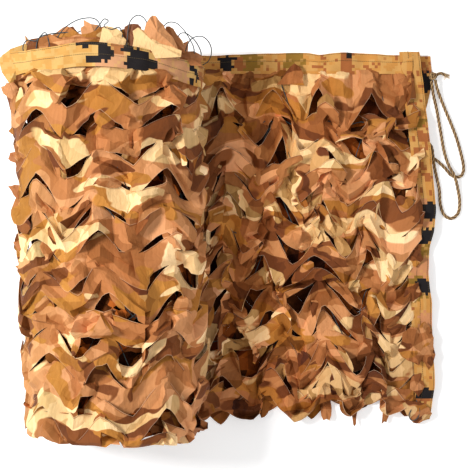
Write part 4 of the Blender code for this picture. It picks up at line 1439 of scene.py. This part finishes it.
def spiral_turns(side, first_share, stand_out, leaf, seed):
    """One strip of cloth wound inwards at an end of the roll, with its edge standing out in leaves.

    side is 1 at the back and -1 at the front. stand_out lists how far the edge reaches at each share of the
    radius."""
    rng = np.random.default_rng(seed)
    shares, reaches = zip(*stand_out)
    end_y = ROLL_BACK if side > 0 else ROLL_FRONT
    across_rows, step = 8, 0.009
    first_u, total = 0.25 * GIRTH, (first_share - 0.06) * ROLL_TURNS * GIRTH
    points, uv = [], []
    u, run = first_u, 0.0
    first_phase = rng.uniform(0, 2 * math.pi)
    ruffle = rng.uniform(0, 2 * math.pi, 4)
    while u < first_u + total:
        keep = first_share + (0.07 - first_share) * ((u - first_u) / total)
        reach = float(np.interp(-keep, [-s for s in shares], reaches))
        phase = 2 * math.pi * run / REPEAT + first_phase
        edge = reach + leaf * math.cos(phase) * (0.75 + 0.25 * math.sin(run * 23 + ruffle[0]))
        edge += 0.004 * math.sin(run * 117 + ruffle[1])
        across, up, out_x, out_z = section_at(u)
        for k in range(across_rows):
            way = k / (across_rows - 1)
            y = end_y + side * (-TURN_DEPTH + (TURN_DEPTH + edge) * way)
            slow = 0.6 * math.sin(run * 46 + 2.2 * way + ruffle[2])
            sway = (0.0015 + 0.0075 * way) * (slow + 0.5 * math.sin(run * 103 - 3 * way + ruffle[3]))
            to_side = float(smoothstep(ROLL_FLARE_FROM, -ROLL_HALF_WIDTH, across))
            x = ROLL_AXIS_X + across * keep + out_x * sway - ROLL_FLARE * y / ROLL_BACK * to_side * keep
            points.append((x, y, max(0.002, ROLL_AXIS_Z + up * keep + out_z * sway)))
            uv.append((run, y + 0.01 * k))
        run += step
        u += step / max(keep, 0.12)
    order = (0, 1, 2, 3) if side > 0 else FLIPPED
    return points, grid_faces(len(points) // across_rows, across_rows, order=order), np.array(uv), run


def core(side):
    """The closed turns deep in the roll, as they show at one of its ends."""
    points, ring = [], 64
    depth = ROLL_BACK - 0.050 if side > 0 else ROLL_FRONT + 0.050
    shares = (0.95, 0.8, 0.65, 0.5, 0.35, 0.2, 0.08)
    for keep in shares:
        for j in range(ring):
            across, up, _, _ = section_at(GIRTH * j / ring)
            bulge = 0.004 * math.cos(2 * math.pi * (keep * 9 - j / ring))
            points.append((ROLL_AXIS_X + across * keep, depth + side * bulge, ROLL_AXIS_Z + up * keep))
    faces = grid_faces(len(shares), ring, True, (0, 1, 2, 3) if side > 0 else FLIPPED)
    innermost = tuple(range(len(points) - ring, len(points)))
    return points, faces + [innermost if side > 0 else innermost[::-1]]


# How far the turns' edges stand out at the roll's back and front ends, by share of the radius.
BACK_STAND_OUT = [
    (0.95, 0.010), (0.88, 0.030), (0.78, 0.034), (0.68, 0.018), (0.56, 0.022), (0.43, 0.004), (0.30, 0.006),
    (0.05, -0.018),
]
FRONT_STAND_OUT = [
    (0.95, -0.004), (0.88, 0.002), (0.78, -0.006), (0.56, 0.002), (0.43, -0.010), (0.30, -0.004),
    (0.05, -0.020),
]
# Leaves of cloth that stand out at the roll's back end and lie over its tape, as the camera sees them: the
# cloth's colour, the height of the foot and of the tip, how far the middle bulges, and the outline as (x, y),
# foot first, all in millimetres.
BACK_LEAVES = [
    ("dark", 222, 226, 6, [(-316, 352), (-286, 352), (-289, 391), (-298, 402), (-310, 392)]),
    ("tan", 236, 240, 10, [(-272, 352), (-222, 352), (-228, 383), (-248, 402), (-276, 412), (-281, 396)]),
    ("cream", 247, 246, 6, [(-248, 358), (-200, 356), (-194, 372), (-202, 386), (-222, 397), (-240, 394)]),
    ("dark", 236, 240, 4, [(-206, 352), (-162, 352), (-166, 397), (-180, 404), (-198, 398)]),
    ("tan", 240, 246, 12,
     [(-170, 354), (-96, 354), (-106, 378), (-124, 402), (-137, 417), (-149, 414), (-160, 392)]),
    ("cream", 243, 244, 8,
     [(-182, 344), (-90, 340), (-89, 352), (-120, 366), (-148, 384), (-172, 396), (-180, 376)]),
    ("brown", 226, 224, 6, [(-124, 352), (-82, 352), (-90, 376), (-106, 398), (-120, 402)]),
    ("brown", 200, 196, 8, [(-100, 334), (-52, 330), (-50, 346), (-68, 359), (-94, 356)]),
    ("cream", 212, 214, 10, [(-394, 296), (-346, 300), (-342, 316), (-366, 345), (-386, 322)]),
]
# Leaves that curl out of the roll's left side, given in the same way.
SIDE_LEAVES = [
    ("tan", 172, 178, 5, [(-404, 262), (-420, 266), (-443, 280), (-447, 293), (-436, 300), (-406, 298)]),
    ("dark", 150, 160, 4, [(-404, 228), (-421, 232), (-434, 252), (-440, 276), (-430, 286), (-406, 278)]),
    ("ochre", 158, 162, 3, [(-404, 194), (-422, 198), (-436, 208), (-430, 214), (-406, 211)]),
    ("brown", 160, 152, 4, [(-402, 140), (-423, 145), (-437, 153), (-434, 165), (-418, 169), (-402, 166)]),
    ("brown", 150, 156, 5, [(-402, 70), (-419, 74), (-428, 83), (-438, 99), (-424, 102), (-402, 97)]),
    ("brown", 160, 156, 4, [(-398, -34), (-415, -30), (-427, -12), (-416, -8), (-398, -11)]),
    ("tan", 158, 160, 4, [(-394, -76), (-409, -73), (-423, -59), (-412, -55), (-394, -54)]),
]
# Leaves of the loose end that lie over its end tape or out from its front fold, given in the same way.
END_LEAVES = [
    ("brown", 24, 26, 6, [(374, -60), (392, -66), (408, -48), (402, -26), (386, -30)]),
    ("tan", 24, 24, 7, [(366, -128), (388, -140), (406, -122), (398, -98), (378, -100)]),
    ("ochre", 22, 24, 7, [(400, -262), (420, -282), (434, -250), (430, -214), (412, -180), (398, -196)]),
    ("tan", 28, 26, 8,
     [(354, -240), (376, -262), (398, -272), (416, -240), (402, -206), (384, -190), (364, -204)]),
    ("brown", 22, 22, 6, [(380, -322), (398, -338), (412, -314), (404, -288), (386, -292)]),
    ("cream", 24, 26, 6, [(368, 60), (390, 54), (402, 80), (388, 104), (372, 96)]),
    ("tan", 26, 27, 7, [(100, 318), (158, 316), (156, 343), (137, 362), (120, 345)]),
    ("brown", 16, 4, 5, [(190, -335), (193, -366), (199, -389), (212, -390), (217, -364), (214, -336)]),
    ("brown", 14, 3, 3, [(250, -342), (258, -372), (262, -398), (268, -397), (272, -370), (270, -344)]),
    ("tan", 14, 3, 3, [(328, -346), (325, -376), (322, -398), (332, -394), (341, -366), (344, -346)]),
    ("brown", 14, 4, 4, [(140, -340), (144, -362), (152, -377), (163, -378), (168, -362), (166, -342)]),
    ("tan", 16, 4, 5, [(46, -330), (54, -360), (68, -384), (82, -374), (92, -352), (90, -332)]),
    ("brown", 12, 26, 4,
     [(364, -352), (374, -376), (388, -394), (402, -396), (418, -388), (428, -374), (422, -362),
      (394, -348)]),
]
# The folded corner of the roll's tape, given in the same way but without a colour.
ROLL_TAPE_CORNER = (188, 196, 10, [(-427, 297), (-392, 312), (-377, 339), (-395, 374), (-448, 345)])


def creased_leaf(foot, tip, bulge, outline):
    """A folded leaf of cloth over an outline in millimetres, with a ridge from its foot to its tip."""
    foot, tip, bulge = metres(foot, tip, bulge)
    outline = np.array(outline) / 1000
    low, high = outline[:, 1].min(), outline[:, 1].max()
    middle = outline.mean(axis=0)
    ring = []
    for k, (here, after) in enumerate(zip(outline, np.roll(outline, -1, axis=0))):
        between = (here + after) / 2
        ring += [here, between + (between - middle) * 0.17 * math.sin(2.3 * k + 60 * here[0])]
    points = []
    for inward in (0.0, 0.45, 1.0):
        for k, spot in enumerate(ring):
            place = spot + (middle - spot) * inward
            along = (place[1] - low) / (high - low)
            rise = bulge * (inward + 0.35 * math.sin(2.6 * k + 40 * place[0]) * (1 - inward))
            points.append((*place, foot + (tip - foot) * along + rise))
    points = np.array(points)
    return points, grid_faces(3, len(ring), closed=True), points[:, :2] * 1.4 + (0.37, 0.21)


def lay_leaf(name, outline, finish, thickness, slot, node, rests_on):
    """Lays a folded piece of cloth or tape, given as creased_leaf takes it."""
    points, faces, uv = creased_leaf(*outline)
    made = new_object(name, points, faces, finish, uv)
    refined(made, 0, thickness, CRISP)
    dressed(made, slot, node)
    declare_own_sheet(points, faces, float(np.ptp(points[:, 0])), rests_on)


def lay_leaves(name, leaves, node, rests_on, print_look=None):
    for number, (colour, *outline) in enumerate(leaves, 1):
        finish = print_look or leaf_cloth(colour)
        thickness = settings("cloth").thickness
        lay_leaf(f"{name}_{number}", outline, finish, thickness, "camouflage_cloth", node, rests_on)


class SHADENET_OT_roll_ends(bpy.types.Operator):
    """Winds the inner turns' leafy edges at the roll's two ends"""

    bl_idname = "shade_net.roll_ends"
    bl_label = "Roll ends"

    def execute(self, context):
        for name, side, stand_out, leaf, seeds in (
            ("roll_back", 1, BACK_STAND_OUT, 0.012, (3, 5)),
            ("roll_front", -1, FRONT_STAND_OUT, 0.011, (7, 9)),
        ):
            for number, (first_share, seed) in enumerate(zip((0.93, 0.87), seeds), 1):
                points, faces, uv, run = spiral_turns(side, first_share, stand_out, leaf, seed)
                made = new_object(f"{name}_turns_{number}", points, faces, turned_cloth(), uv + seed)
                refined(made, 1, settings("cloth").thickness, SOFT)
                dressed(made, "camouflage_cloth", "net_roll")
                declare_own_sheet(points, faces, run, "roll_cover")
            points, faces = core(side)
            uv = [(x * 2, z * 2) for x, _, z in points]
            made = new_object(f"{name}_core", points, faces, inner_cloth(), uv)
            dressed(made, "camouflage_cloth", "net_roll")
            declare_own_sheet(points, faces, 0.34, "roll_cover")
        lay_leaves("roll_back_leaf", BACK_LEAVES, "net_roll", "roll_cover")
        lay_leaves("roll_side_leaf", SIDE_LEAVES, "net_roll", "roll_cover")
        return {"FINISHED"}


# Where each tape begins on the UV map. v is 0 at a tape's inner edge.
ROLL_TAPE_U = -0.023
BACK_TAPE_U = 2.0
END_TAPE_U = 4.0  # under the front fold
UNDER_TAPE_U = 6.0
# Where the tapes' dark colours gather there: (u, reach along, v, reach across), in millimetres.
TAPE_SPOTS = {
    "pink": [
        (430, 50, 12, 22), (545, 40, 20, 36), (4485, 40, 10, 26), (4375, 40, 24, 30), (4250, 34, 28, 16),
        (900, 60, 20, 30), (6300, 100, 20, 30),
    ],
    "olive": [
        (2108, 26, 26, 22), (2203, 22, 22, 24), (4686, 14, 20, 20), (4332, 24, 20, 26), (4408, 16, 34, 14),
        (6500, 40, 20, 30),
    ],
    "brown": [
        (432, 22, 36, 12), (640, 30, 22, 28), (2085, 14, 22, 16), (2312, 18, 22, 34), (2262, 6, 34, 6),
        (4745, 10, 12, 12), (4653, 18, 30, 14), (4622, 14, 18, 14), (4592, 8, 20, 16), (4566, 8, 30, 12),
        (4430, 20, 14, 20), (4395, 14, 10, 14), (4096, 16, 22, 30), (6700, 14, 20, 40),
    ],
    "black": [
        (372, 20, 40, 7), (404, 18, 28, 18), (380, 14, 12, 10), (468, 30, 18, 21), (446, 12, 36, 8),
        (498, 7, 12, 16), (584, 10, 34, 8), (600, 12, 20, 10), (586, 8, 8, 10), (730, 30, 24, 20),
        (110, 30, 20, 22), (2056, 21, 30, 8), (2058, 11, 20, 22), (2318, 8, 36, 6), (4494, 20, 30, 18),
        (4442, 20, 24, 26), (4333, 18, 28, 16), (4104, 12, 28, 26), (6672, 24, 24, 40), (6140, 30, 20, 26),
    ],
}
UP = (0.0, 0.0, 1.0)


def roll_tape_lines():
    """The front and back edges of the tape round the roll's back rim, and the way out from it."""
    us = np.linspace(0.02, 0.98, 97) * GIRTH
    us = us[np.array([ROLL_AXIS_Z + section_at(u)[1] > 0.012 for u in us])]
    _, _, out_x, out_z = section_at(us)
    corner = np.exp(-(((us / GIRTH - 0.29) / 0.05) ** 2))
    rise = 0.0022 + 0.0016 * np.sin(us * 37) + 0.001 * np.sin(us * 91 + 1)
    drawn = 0.0075 * np.exp(-(((us - 0.485) / 0.06) ** 2)) - 0.020 * smoothstep(0.57, 0.70, us)
    front = wound(us, ROLL_BACK - TAPE_WIDTH - 0.001 + drawn, rise)
    back = wound(us, ROLL_BACK + 0.001 + 0.002 * np.sin(us * 29) + drawn, rise + 0.016 * corner)
    return front, back, np.stack([out_x, np.zeros(len(us)), out_z], axis=1)


def back_tape_lines():
    """The same for the tape along the loose end's back edge, from the roll to the right."""
    xs = np.arange(-0.062, 0.392, 0.007)
    level = np.minimum(edge_level(xs), np.maximum(roll_underside(xs) - 0.006, 0.002)) + 0.002
    edge_y = FLAP_BACK + 0.0035 - along_line(BACK_EDGE_DIPS, xs)
    front = np.stack([xs, np.full(len(xs), FLAP_BACK - TAPE_WIDTH - 0.001), level], axis=1)
    back = np.stack([xs, edge_y, level + 0.001 * np.sin(xs * 40)], axis=1)
    return front, back, [UP] * len(xs)


def end_tape_lines():
    """The same for the tape on the upper layer's end, from under the front fold, round it and to the back."""
    ys = np.linspace(FLAP_FRONT, 0.3875, 108)
    outer_x = along_line(END_LINE, ys) - np.interp(ys, (0.06, 0.24, 0.39), (0.0, 0.0095, 0.0155))
    level = end_level(ys) + 0.0034
    inner = list(np.stack([outer_x - TAPE_WIDTH - 0.001, ys, level], axis=1))
    outer = list(np.stack([outer_x, ys, level], axis=1))
    out = [UP] * len(ys)
    low, top = 0.0030, float(level[0])
    for y, tall, turn in (
        (-0.376, 0.95, 0.85), (-0.3855, 0.72, 0.45), (-0.3885, 0.42, 0.05), (-0.383, 0.14, -0.5),
        (-0.366, 0.02, -1.0), (-0.345, 0.02, -1.0),
    ):
        x = float(along_line(END_LINE, max(y, -0.385)))
        height = low + tall * (top - low)
        inner.insert(0, (x - TAPE_WIDTH, y, height))
        outer.insert(0, (x, y, height))
        out.insert(0, (0.0, -math.sqrt(max(0.0, 1 - turn * turn)) - 1e-3, turn))
    return inner, outer, out


def under_tape_lines():
    """The same for the tape on the lower layer's end."""
    ys = np.linspace(-0.340, 0.3816, 100)
    outer_x = along_line(LOWER_END_LINE, ys)
    inner = np.stack([outer_x - TAPE_WIDTH, ys, np.full(len(ys), 0.0022)], axis=1)
    outer = np.stack([outer_x, ys, np.full(len(ys), 0.0018)], axis=1)
    return inner, outer, [UP] * len(ys)


def tape_strip(name, lines, first_u, crumple):
    """A tape between two lines of points, a little crumpled.

    Gives also its grid of points, the way out from each row of them, and its length."""
    tape = settings("tape")
    left, right, out = (np.asarray(line, float) for line in lines)
    along = np.concatenate([[0], np.cumsum(np.linalg.norm(np.diff((left + right) / 2, axis=0), axis=1))])
    count = max(3, round(along[-1] / 0.006))
    wanted = np.linspace(0, along[-1], count + 1)

    def resampled(line):
        return np.stack([np.interp(wanted, along, line[:, k]) for k in range(3)], axis=1)

    left, right, out = resampled(left), resampled(right), resampled(out)
    out /= np.linalg.norm(out, axis=1)[:, None]
    ways = np.linspace(0, 1, 7)
    points, uv = [], []
    for i, run in enumerate(wanted):
        u = run + first_u
        for way in ways:
            lift = math.sin(95 * u + 1.5 * way) + 0.7 * math.sin(163 * u - 4 * way + 1)
            lift += 0.6 * math.sin(61 * u + 6 * way)
            points.append(left[i] + (right[i] - left[i]) * way + out[i] * (crumple * lift))
            uv.append((u, way * tape.width))
    faces = grid_faces(count + 1, len(ways), order=FLIPPED_IN_PLACE)
    made = new_object(name, points, faces, tape_cloth(), uv)

    def face_outwards(work):
        work.faces.ensure_lookup_table()
        if work.faces[len(faces) // 2].normal.dot(Vector(out[len(out) // 2])) < 0:
            bmesh.ops.reverse_faces(work, faces=work.faces)

    reworked(made, face_outwards)
    refined(made, 1, tape.thickness, SOFT_TAPE)
    return made, np.array(points).reshape(count + 1, len(ways), 3), out, float(along[-1])


def stitch_lines(grid, out, shares, lift):
    """Guide lines over a tape's outer face, at shares of its width."""
    points, edges = [], []
    last = grid.shape[1] - 1
    for share_across in shares:
        place = share_across * last
        k = min(int(place), last - 1)
        line = grid[:, k] + (grid[:, k + 1] - grid[:, k]) * (place - k) + out * lift
        start = len(points)
        points += list(line)
        edges += [(start + i, start + i + 1) for i in range(len(line) - 1)]
    return points, edges


class SHADENET_OT_tapes(bpy.types.Operator):
    """Lays the binding tapes and sews them down"""

    bl_idname = "shade_net.tapes"
    bl_label = "Tapes"

    def execute(self, context):
        tape = settings("tape")
        tree = stitch_tree()
        thread = finish_named("sewing_thread_look", thread_finish, tape)
        sewing = {"Pitch": tape.stitch_pitch, "Stitch length": tape.stitch_length}
        sewing.update({"Thread radius": tape.thread, "Finish": thread})
        corner = ("roll_tape_corner", ROLL_TAPE_CORNER, tape_cloth(), tape.thickness)
        lay_leaf(*corner, "pixel_tape", "tape_roll", "roll_tape")
        for side, lines, first_u, crumple, seams, rests_on, held in (
            ("roll", roll_tape_lines(), ROLL_TAPE_U, 0.0014, (0.5, 0.94), "roll_cover", "folded"),
            ("back", back_tape_lines(), BACK_TAPE_U, 0.0013, (0.62, 0.95), "loose_end_upper", "laid"),
            ("end", end_tape_lines(), END_TAPE_U, 0.0011, (0.42, 0.93), "loose_end_upper", "laid"),
            ("under", under_tape_lines(), UNDER_TAPE_U, 0.0004, (0.5,), "loose_end_lower", "laid"),
        ):
            name = side + "_tape"
            made, grid, out, run = tape_strip(name, lines, first_u, crumple)
            dressed(made, "pixel_tape", "tape_" + side)
            points, edges = stitch_lines(grid, out, seams, tape.thickness / 2 + 0.0003)
            sewn = grown(name + "_stitches", points, edges, tree, sewing)
            dressed(sewn, "net_twine")
        return {"FINISHED"}


def net_lines(columns, lines, place):
    """Guide lines of the backing net: a diamond lattice between the ties. place gives the real points."""
    points, edges, marks = [], [], []
    known = {}

    def tie(i, n):
        if (i, n) not in known:
            known[(i, n)] = len(points)
            points.append(place(i, n))
            marks.append(True)
        return known[(i, n)]

    parts = 6
    for n in range(*lines):
        for i in range(*columns):
            for ahead in (-1, 1) if (i + n) % 2 == 0 else ():
                last, end = tie(i, n), tie(i + ahead, n + 1)
                for k in range(1, parts):
                    points.append(place(i + ahead * k / parts, n + k / parts))
                    marks.append(False)
                    edges.append((last, len(points) - 1))
                    last = len(points) - 1
                edges.append((last, end))
    return points, edges, marks


def net_wander(i, n):
    """How far the backing net's strands stray along, across and up."""
    stray = (0.004 * math.sin(3.1 * i + 1.3 * n), 0.003 * math.sin(2.3 * i - 1.7 * n))
    return (*stray, 0.002 * math.sin(1.9 * i + 2.9 * n))


def net_on_roll(i, n):
    along, across, up = net_wander(i, n)
    u = i * (GIRTH / ROLL_REPEATS / 2) + along
    y = ROLL_HOLLOW_LINE + n * ROW_STEP + WAVE * math.cos(math.pi * i) + across
    x, y, z = wound(np.array([u]), np.array([y]), np.array([0.003 + up]), COVER_INSET)[0]
    return (x, y, max(z, 0.0024))


def net_on_end(i, n):
    along, across, up = net_wander(i, n)
    x = FLAP_CREST_X + i * FLAP_REPEAT / 2 + along
    y = FLAP_HOLLOW_LINE + n * ROW_STEP + FLAP_WAVE * math.cos(math.pi * i) + across
    return (x, y, 0.011 + up)


# Loops of twine that spring out of the roll's back end, strands that lie over it, and a last one at the loose
# end's front corner: points in millimetres. The first five are solids of the part too.
TWINE_SOLIDS = 5
TWINE_LOOPS = [
    [
        (-395, 345, 205), (-397, 366, 210), (-388, 378, 212), (-372, 376, 214), (-362, 386, 214),
        (-353, 392, 216), (-346, 376, 220), (-342, 352, 222),
    ],
    [
        (-372, 352, 214), (-366, 380, 216), (-345, 388, 220), (-315, 390, 226), (-290, 389, 232),
        (-272, 394, 236), (-262, 380, 238), (-258, 352, 240),
    ],
    [
        (-332, 350, 226), (-330, 372, 230), (-318, 392, 234), (-300, 406, 236), (-280, 414, 238),
        (-258, 415, 238), (-246, 405, 238), (-240, 380, 238), (-238, 354, 240),
    ],
    [
        (-262, 352, 244), (-256, 384, 246), (-244, 402, 246), (-236, 412, 246), (-228, 408, 246),
        (-236, 398, 248), (-222, 392, 248), (-208, 396, 246), (-202, 384, 246), (-200, 354, 246),
    ],
    [
        (-194, 354, 244), (-190, 396, 244), (-184, 412, 244), (-172, 420, 242), (-160, 414, 240),
        (-154, 400, 240), (-152, 380, 238), (-152, 354, 238),
    ],
    [
        (-128, 356, 232), (-126, 394, 232), (-116, 408, 230), (-100, 408, 226), (-86, 396, 220),
        (-75, 380, 212), (-68, 366, 204), (-66, 350, 196),
    ],
    [
        (-100, 356, 216), (-96, 386, 216), (-84, 392, 210), (-70, 384, 202), (-60, 372, 194), (-54, 358, 184),
        (-56, 344, 176),
    ],
    [
        (-86, 352, 196), (-78, 376, 196), (-66, 388, 190), (-50, 390, 180), (-38, 380, 168), (-34, 364, 158),
        (-40, 348, 150), (-52, 340, 146),
    ],
    [
        (392, -350, 22), (384, -364, 23), (379, -378, 21), (385, -389, 18), (396, -385, 19), (401, -371, 22),
        (399, -357, 24), (394, -346, 22),
    ],
]


def twine_loop(name, line, diameter, finish):
    """A round strand along a line of points."""
    curve = bpy.data.curves.new(name, "CURVE")
    curve.dimensions = "3D"
    curve.bevel_depth = diameter / 2
    curve.bevel_resolution = 1
    spline = curve.splines.new("POLY")
    spline.points.add(len(line) - 1)
    spline.points.foreach_set("co", np.hstack([line, np.ones((len(line), 1))]).ravel())
    curve.materials.append(finish)
    return placed(name, curve)


class SHADENET_OT_twine(bpy.types.Operator):
    """Strings the backing net under the cloth, and its loops at the roll's back end"""

    bl_idname = "shade_net.twine"
    bl_label = "Twine"

    def execute(self, context):
        twine = settings("twine")
        finish = finish_named("net_twine_look", twine_finish, twine)
        tree = twine_tree()
        form = {"Twine radius": twine.diameter / 2, "Knot radius": twine.diameter * 1.1, "Finish": finish}
        for name, place, columns, lines in (
            ("roll_twine_net", net_on_roll, (2, 2 * ROLL_REPEATS - 2), (-6, 4)),
            ("loose_end_twine_net", net_on_end, (-4, 4), (-9, 2)),
        ):
            points, edges, marks = net_lines(columns, lines, place)
            dressed(grown(name, points, edges, tree, form, marks), "net_twine")
        for number, route in enumerate(TWINE_LOOPS, 1):
            line = smooth_route(np.array(route) / 1000, CORD_SPACING)
            loop = twine_loop(f"twine_loop_{number}_look", line, twine.diameter, finish)
            dressed(loop, "net_twine", *([f"twine_loop_{number}"] if number <= TWINE_SOLIDS else []))
            length_of(line)
        return {"FINISHED"}


def rope_tube(name, line, radius, sides=18, turned_from=0.0, taper=0.0):
    """Three twisted strands laid along a line, as one skin with grooves between them."""
    rope = settings("rope")
    line = [Vector(p) for p in line]
    count = len(line)
    side = Vector(UP)
    points, uv, along = [], [], 0.0
    for i, centre in enumerate(line):
        ahead = (line[min(i + 1, count - 1)] - line[max(i - 1, 0)]).normalized()
        side = (side - ahead * side.dot(ahead)).normalized()
        over = ahead.cross(side)
        along += (centre - line[i - 1]).length if i else 0.0
        turned = 2 * math.pi * along / rope.twist + turned_from
        close = 1 - taper * max(0.0, 1 - (count - 1 - i) * 0.25)
        for k in range(sides):
            angle = 2 * math.pi * k / sides
            bulge = abs(math.cos(1.5 * angle)) ** 0.7
            reach = radius * close * (1 - rope.groove + rope.groove * bulge)
            out = side * math.cos(angle + turned) + over * math.sin(angle + turned)
            points.append(centre + reach * out)
            uv.append((along, k / sides))
    faces = grid_faces(count, sides, closed=True)
    faces.append(tuple(range(sides))[::-1])
    faces.append(tuple(range(len(points) - sides, len(points))))
    made = new_object(name, points, faces, rope_look(), uv)
    reworked(made, lambda work: bmesh.ops.recalc_face_normals(work, faces=work.faces))
    return made


def knot_line():
    """Middle line of the knot, which closes on itself."""
    points = []
    for i in range(60):
        t = 2 * math.pi * i / 60
        swing = 2 + math.cos(3 * t)
        way = (0.0020 * swing * math.cos(2 * t), 0.0022 * swing * math.sin(2 * t), 0.0042 * math.sin(3 * t))
        points.append(tuple(middle + part for middle, part in zip(KNOT_AT, way)))
    return points + points[:1]


def fray_lines(end_line):
    """Guide lines of the fibres that spread from the rope's cut end."""
    rng = np.random.default_rng(5)
    tip = Vector(end_line[-1])
    ahead = (tip - Vector(end_line[-4])).normalized()
    points, edges = [], []
    for _ in range(64):
        spread = Vector(rng.normal(0, 0.55, 3)) * 0.9
        spread.z = abs(spread.z) * 0.25
        way = (ahead + spread).normalized()
        start = tip - ahead * 0.004 + Vector(rng.normal(0, 0.0013, 3))
        reach = rng.uniform(0.004, 0.012)
        first = len(points)
        for k in range(5):
            part = k / 4
            point = start + way * reach * part + Vector((0, 0, -0.004 * part**2))
            point += Vector(rng.normal(0, 0.0004, 3)) * part
            point.z = max(point.z, 0.0006)
            points.append(point)
        edges += [(first + k, first + k + 1) for k in range(4)]
    return points, edges


class SHADENET_OT_rope(bpy.types.Operator):
    """Lays the rope tie, its knot and its frayed end"""

    bl_idname = "shade_net.rope"
    bl_label = "Rope tie"

    def execute(self, context):
        rope = settings("rope")
        line, end_line = smooth_route(ROPE_ROUTE, CORD_SPACING), smooth_route(ROPE_END_ROUTE, 0.0016)
        tie = rope_tube("rope_tie_look", line, rope.diameter / 2, 24)
        dressed(tie, "hemp_rope", "rope_tie")
        knot = rope_tube("rope_knot_look", knot_line(), rope.diameter * 0.44)
        dressed(knot, "hemp_rope", "rope_knot")
        end = rope_tube("rope_end_look", end_line, rope.diameter / 2, turned_from=0.4, taper=0.25)
        dressed(end, "hemp_rope", "rope_end")
        points, edges = fray_lines(end_line)
        form = {"Twine radius": 0.00028, "Knot radius": 0.0, "Finish": rope_look()}
        tree = bpy.data.node_groups["twine net"]
        fray = grown("rope_fray", points, edges, tree, form, [False] * len(points))
        dressed(fray, "hemp_rope")
        tuple(line[0])
        length_of(line)
        [tuple(p) for p in line]
        return {"FINISHED"}


class SHADENET_PT_panel(bpy.types.Panel):
    """Lists the settings and the steps"""

    bl_idname = "SHADENET_PT_panel"
    bl_label = "Camouflage Shade Net"
    bl_space_type = "VIEW_3D"
    bl_region_type = "UI"
    bl_category = "Shade Net"

    def draw(self, context):
        for name in GROUPS:
            box = self.layout.box()
            box.label(text=name.replace("_", " ").capitalize())
            group = settings(name)
            for key in values_of(group):
                box.prop(group, key)
        for step in STEPS:
            self.layout.operator(step.bl_idname)


GROUPS = {
    "cloth": ShadeNetCloth,
    "tape": ShadeNetTape,
    "twine": ShadeNetTwine,
    "rope": ShadeNetRope,
    "stage": ShadeNetStage,
}
STEPS = (
    SHADENET_OT_stage,
    SHADENET_OT_twine,
    SHADENET_OT_rope,
    SHADENET_OT_roll_cover,
    SHADENET_OT_roll_ends,
    SHADENET_OT_loose_end,
    SHADENET_OT_tapes,
)


def register():
    for made in (*GROUPS.values(), *STEPS, SHADENET_PT_panel):
        bpy.utils.register_class(made)
    for name, group in GROUPS.items():
        setattr(bpy.types.Scene, "shade_net_" + name, bpy.props.PointerProperty(type=group))


def unregister():
    for name in GROUPS:
        delattr(bpy.types.Scene, "shade_net_" + name)
    for made in reversed((*GROUPS.values(), *STEPS, SHADENET_PT_panel)):
        bpy.utils.unregister_class(made)


def main():
    register()
    for step in STEPS:
        family, name = step.bl_idname.split(".")
        getattr(getattr(bpy.ops, family), name)()


if __name__ == "__main__":
    main()
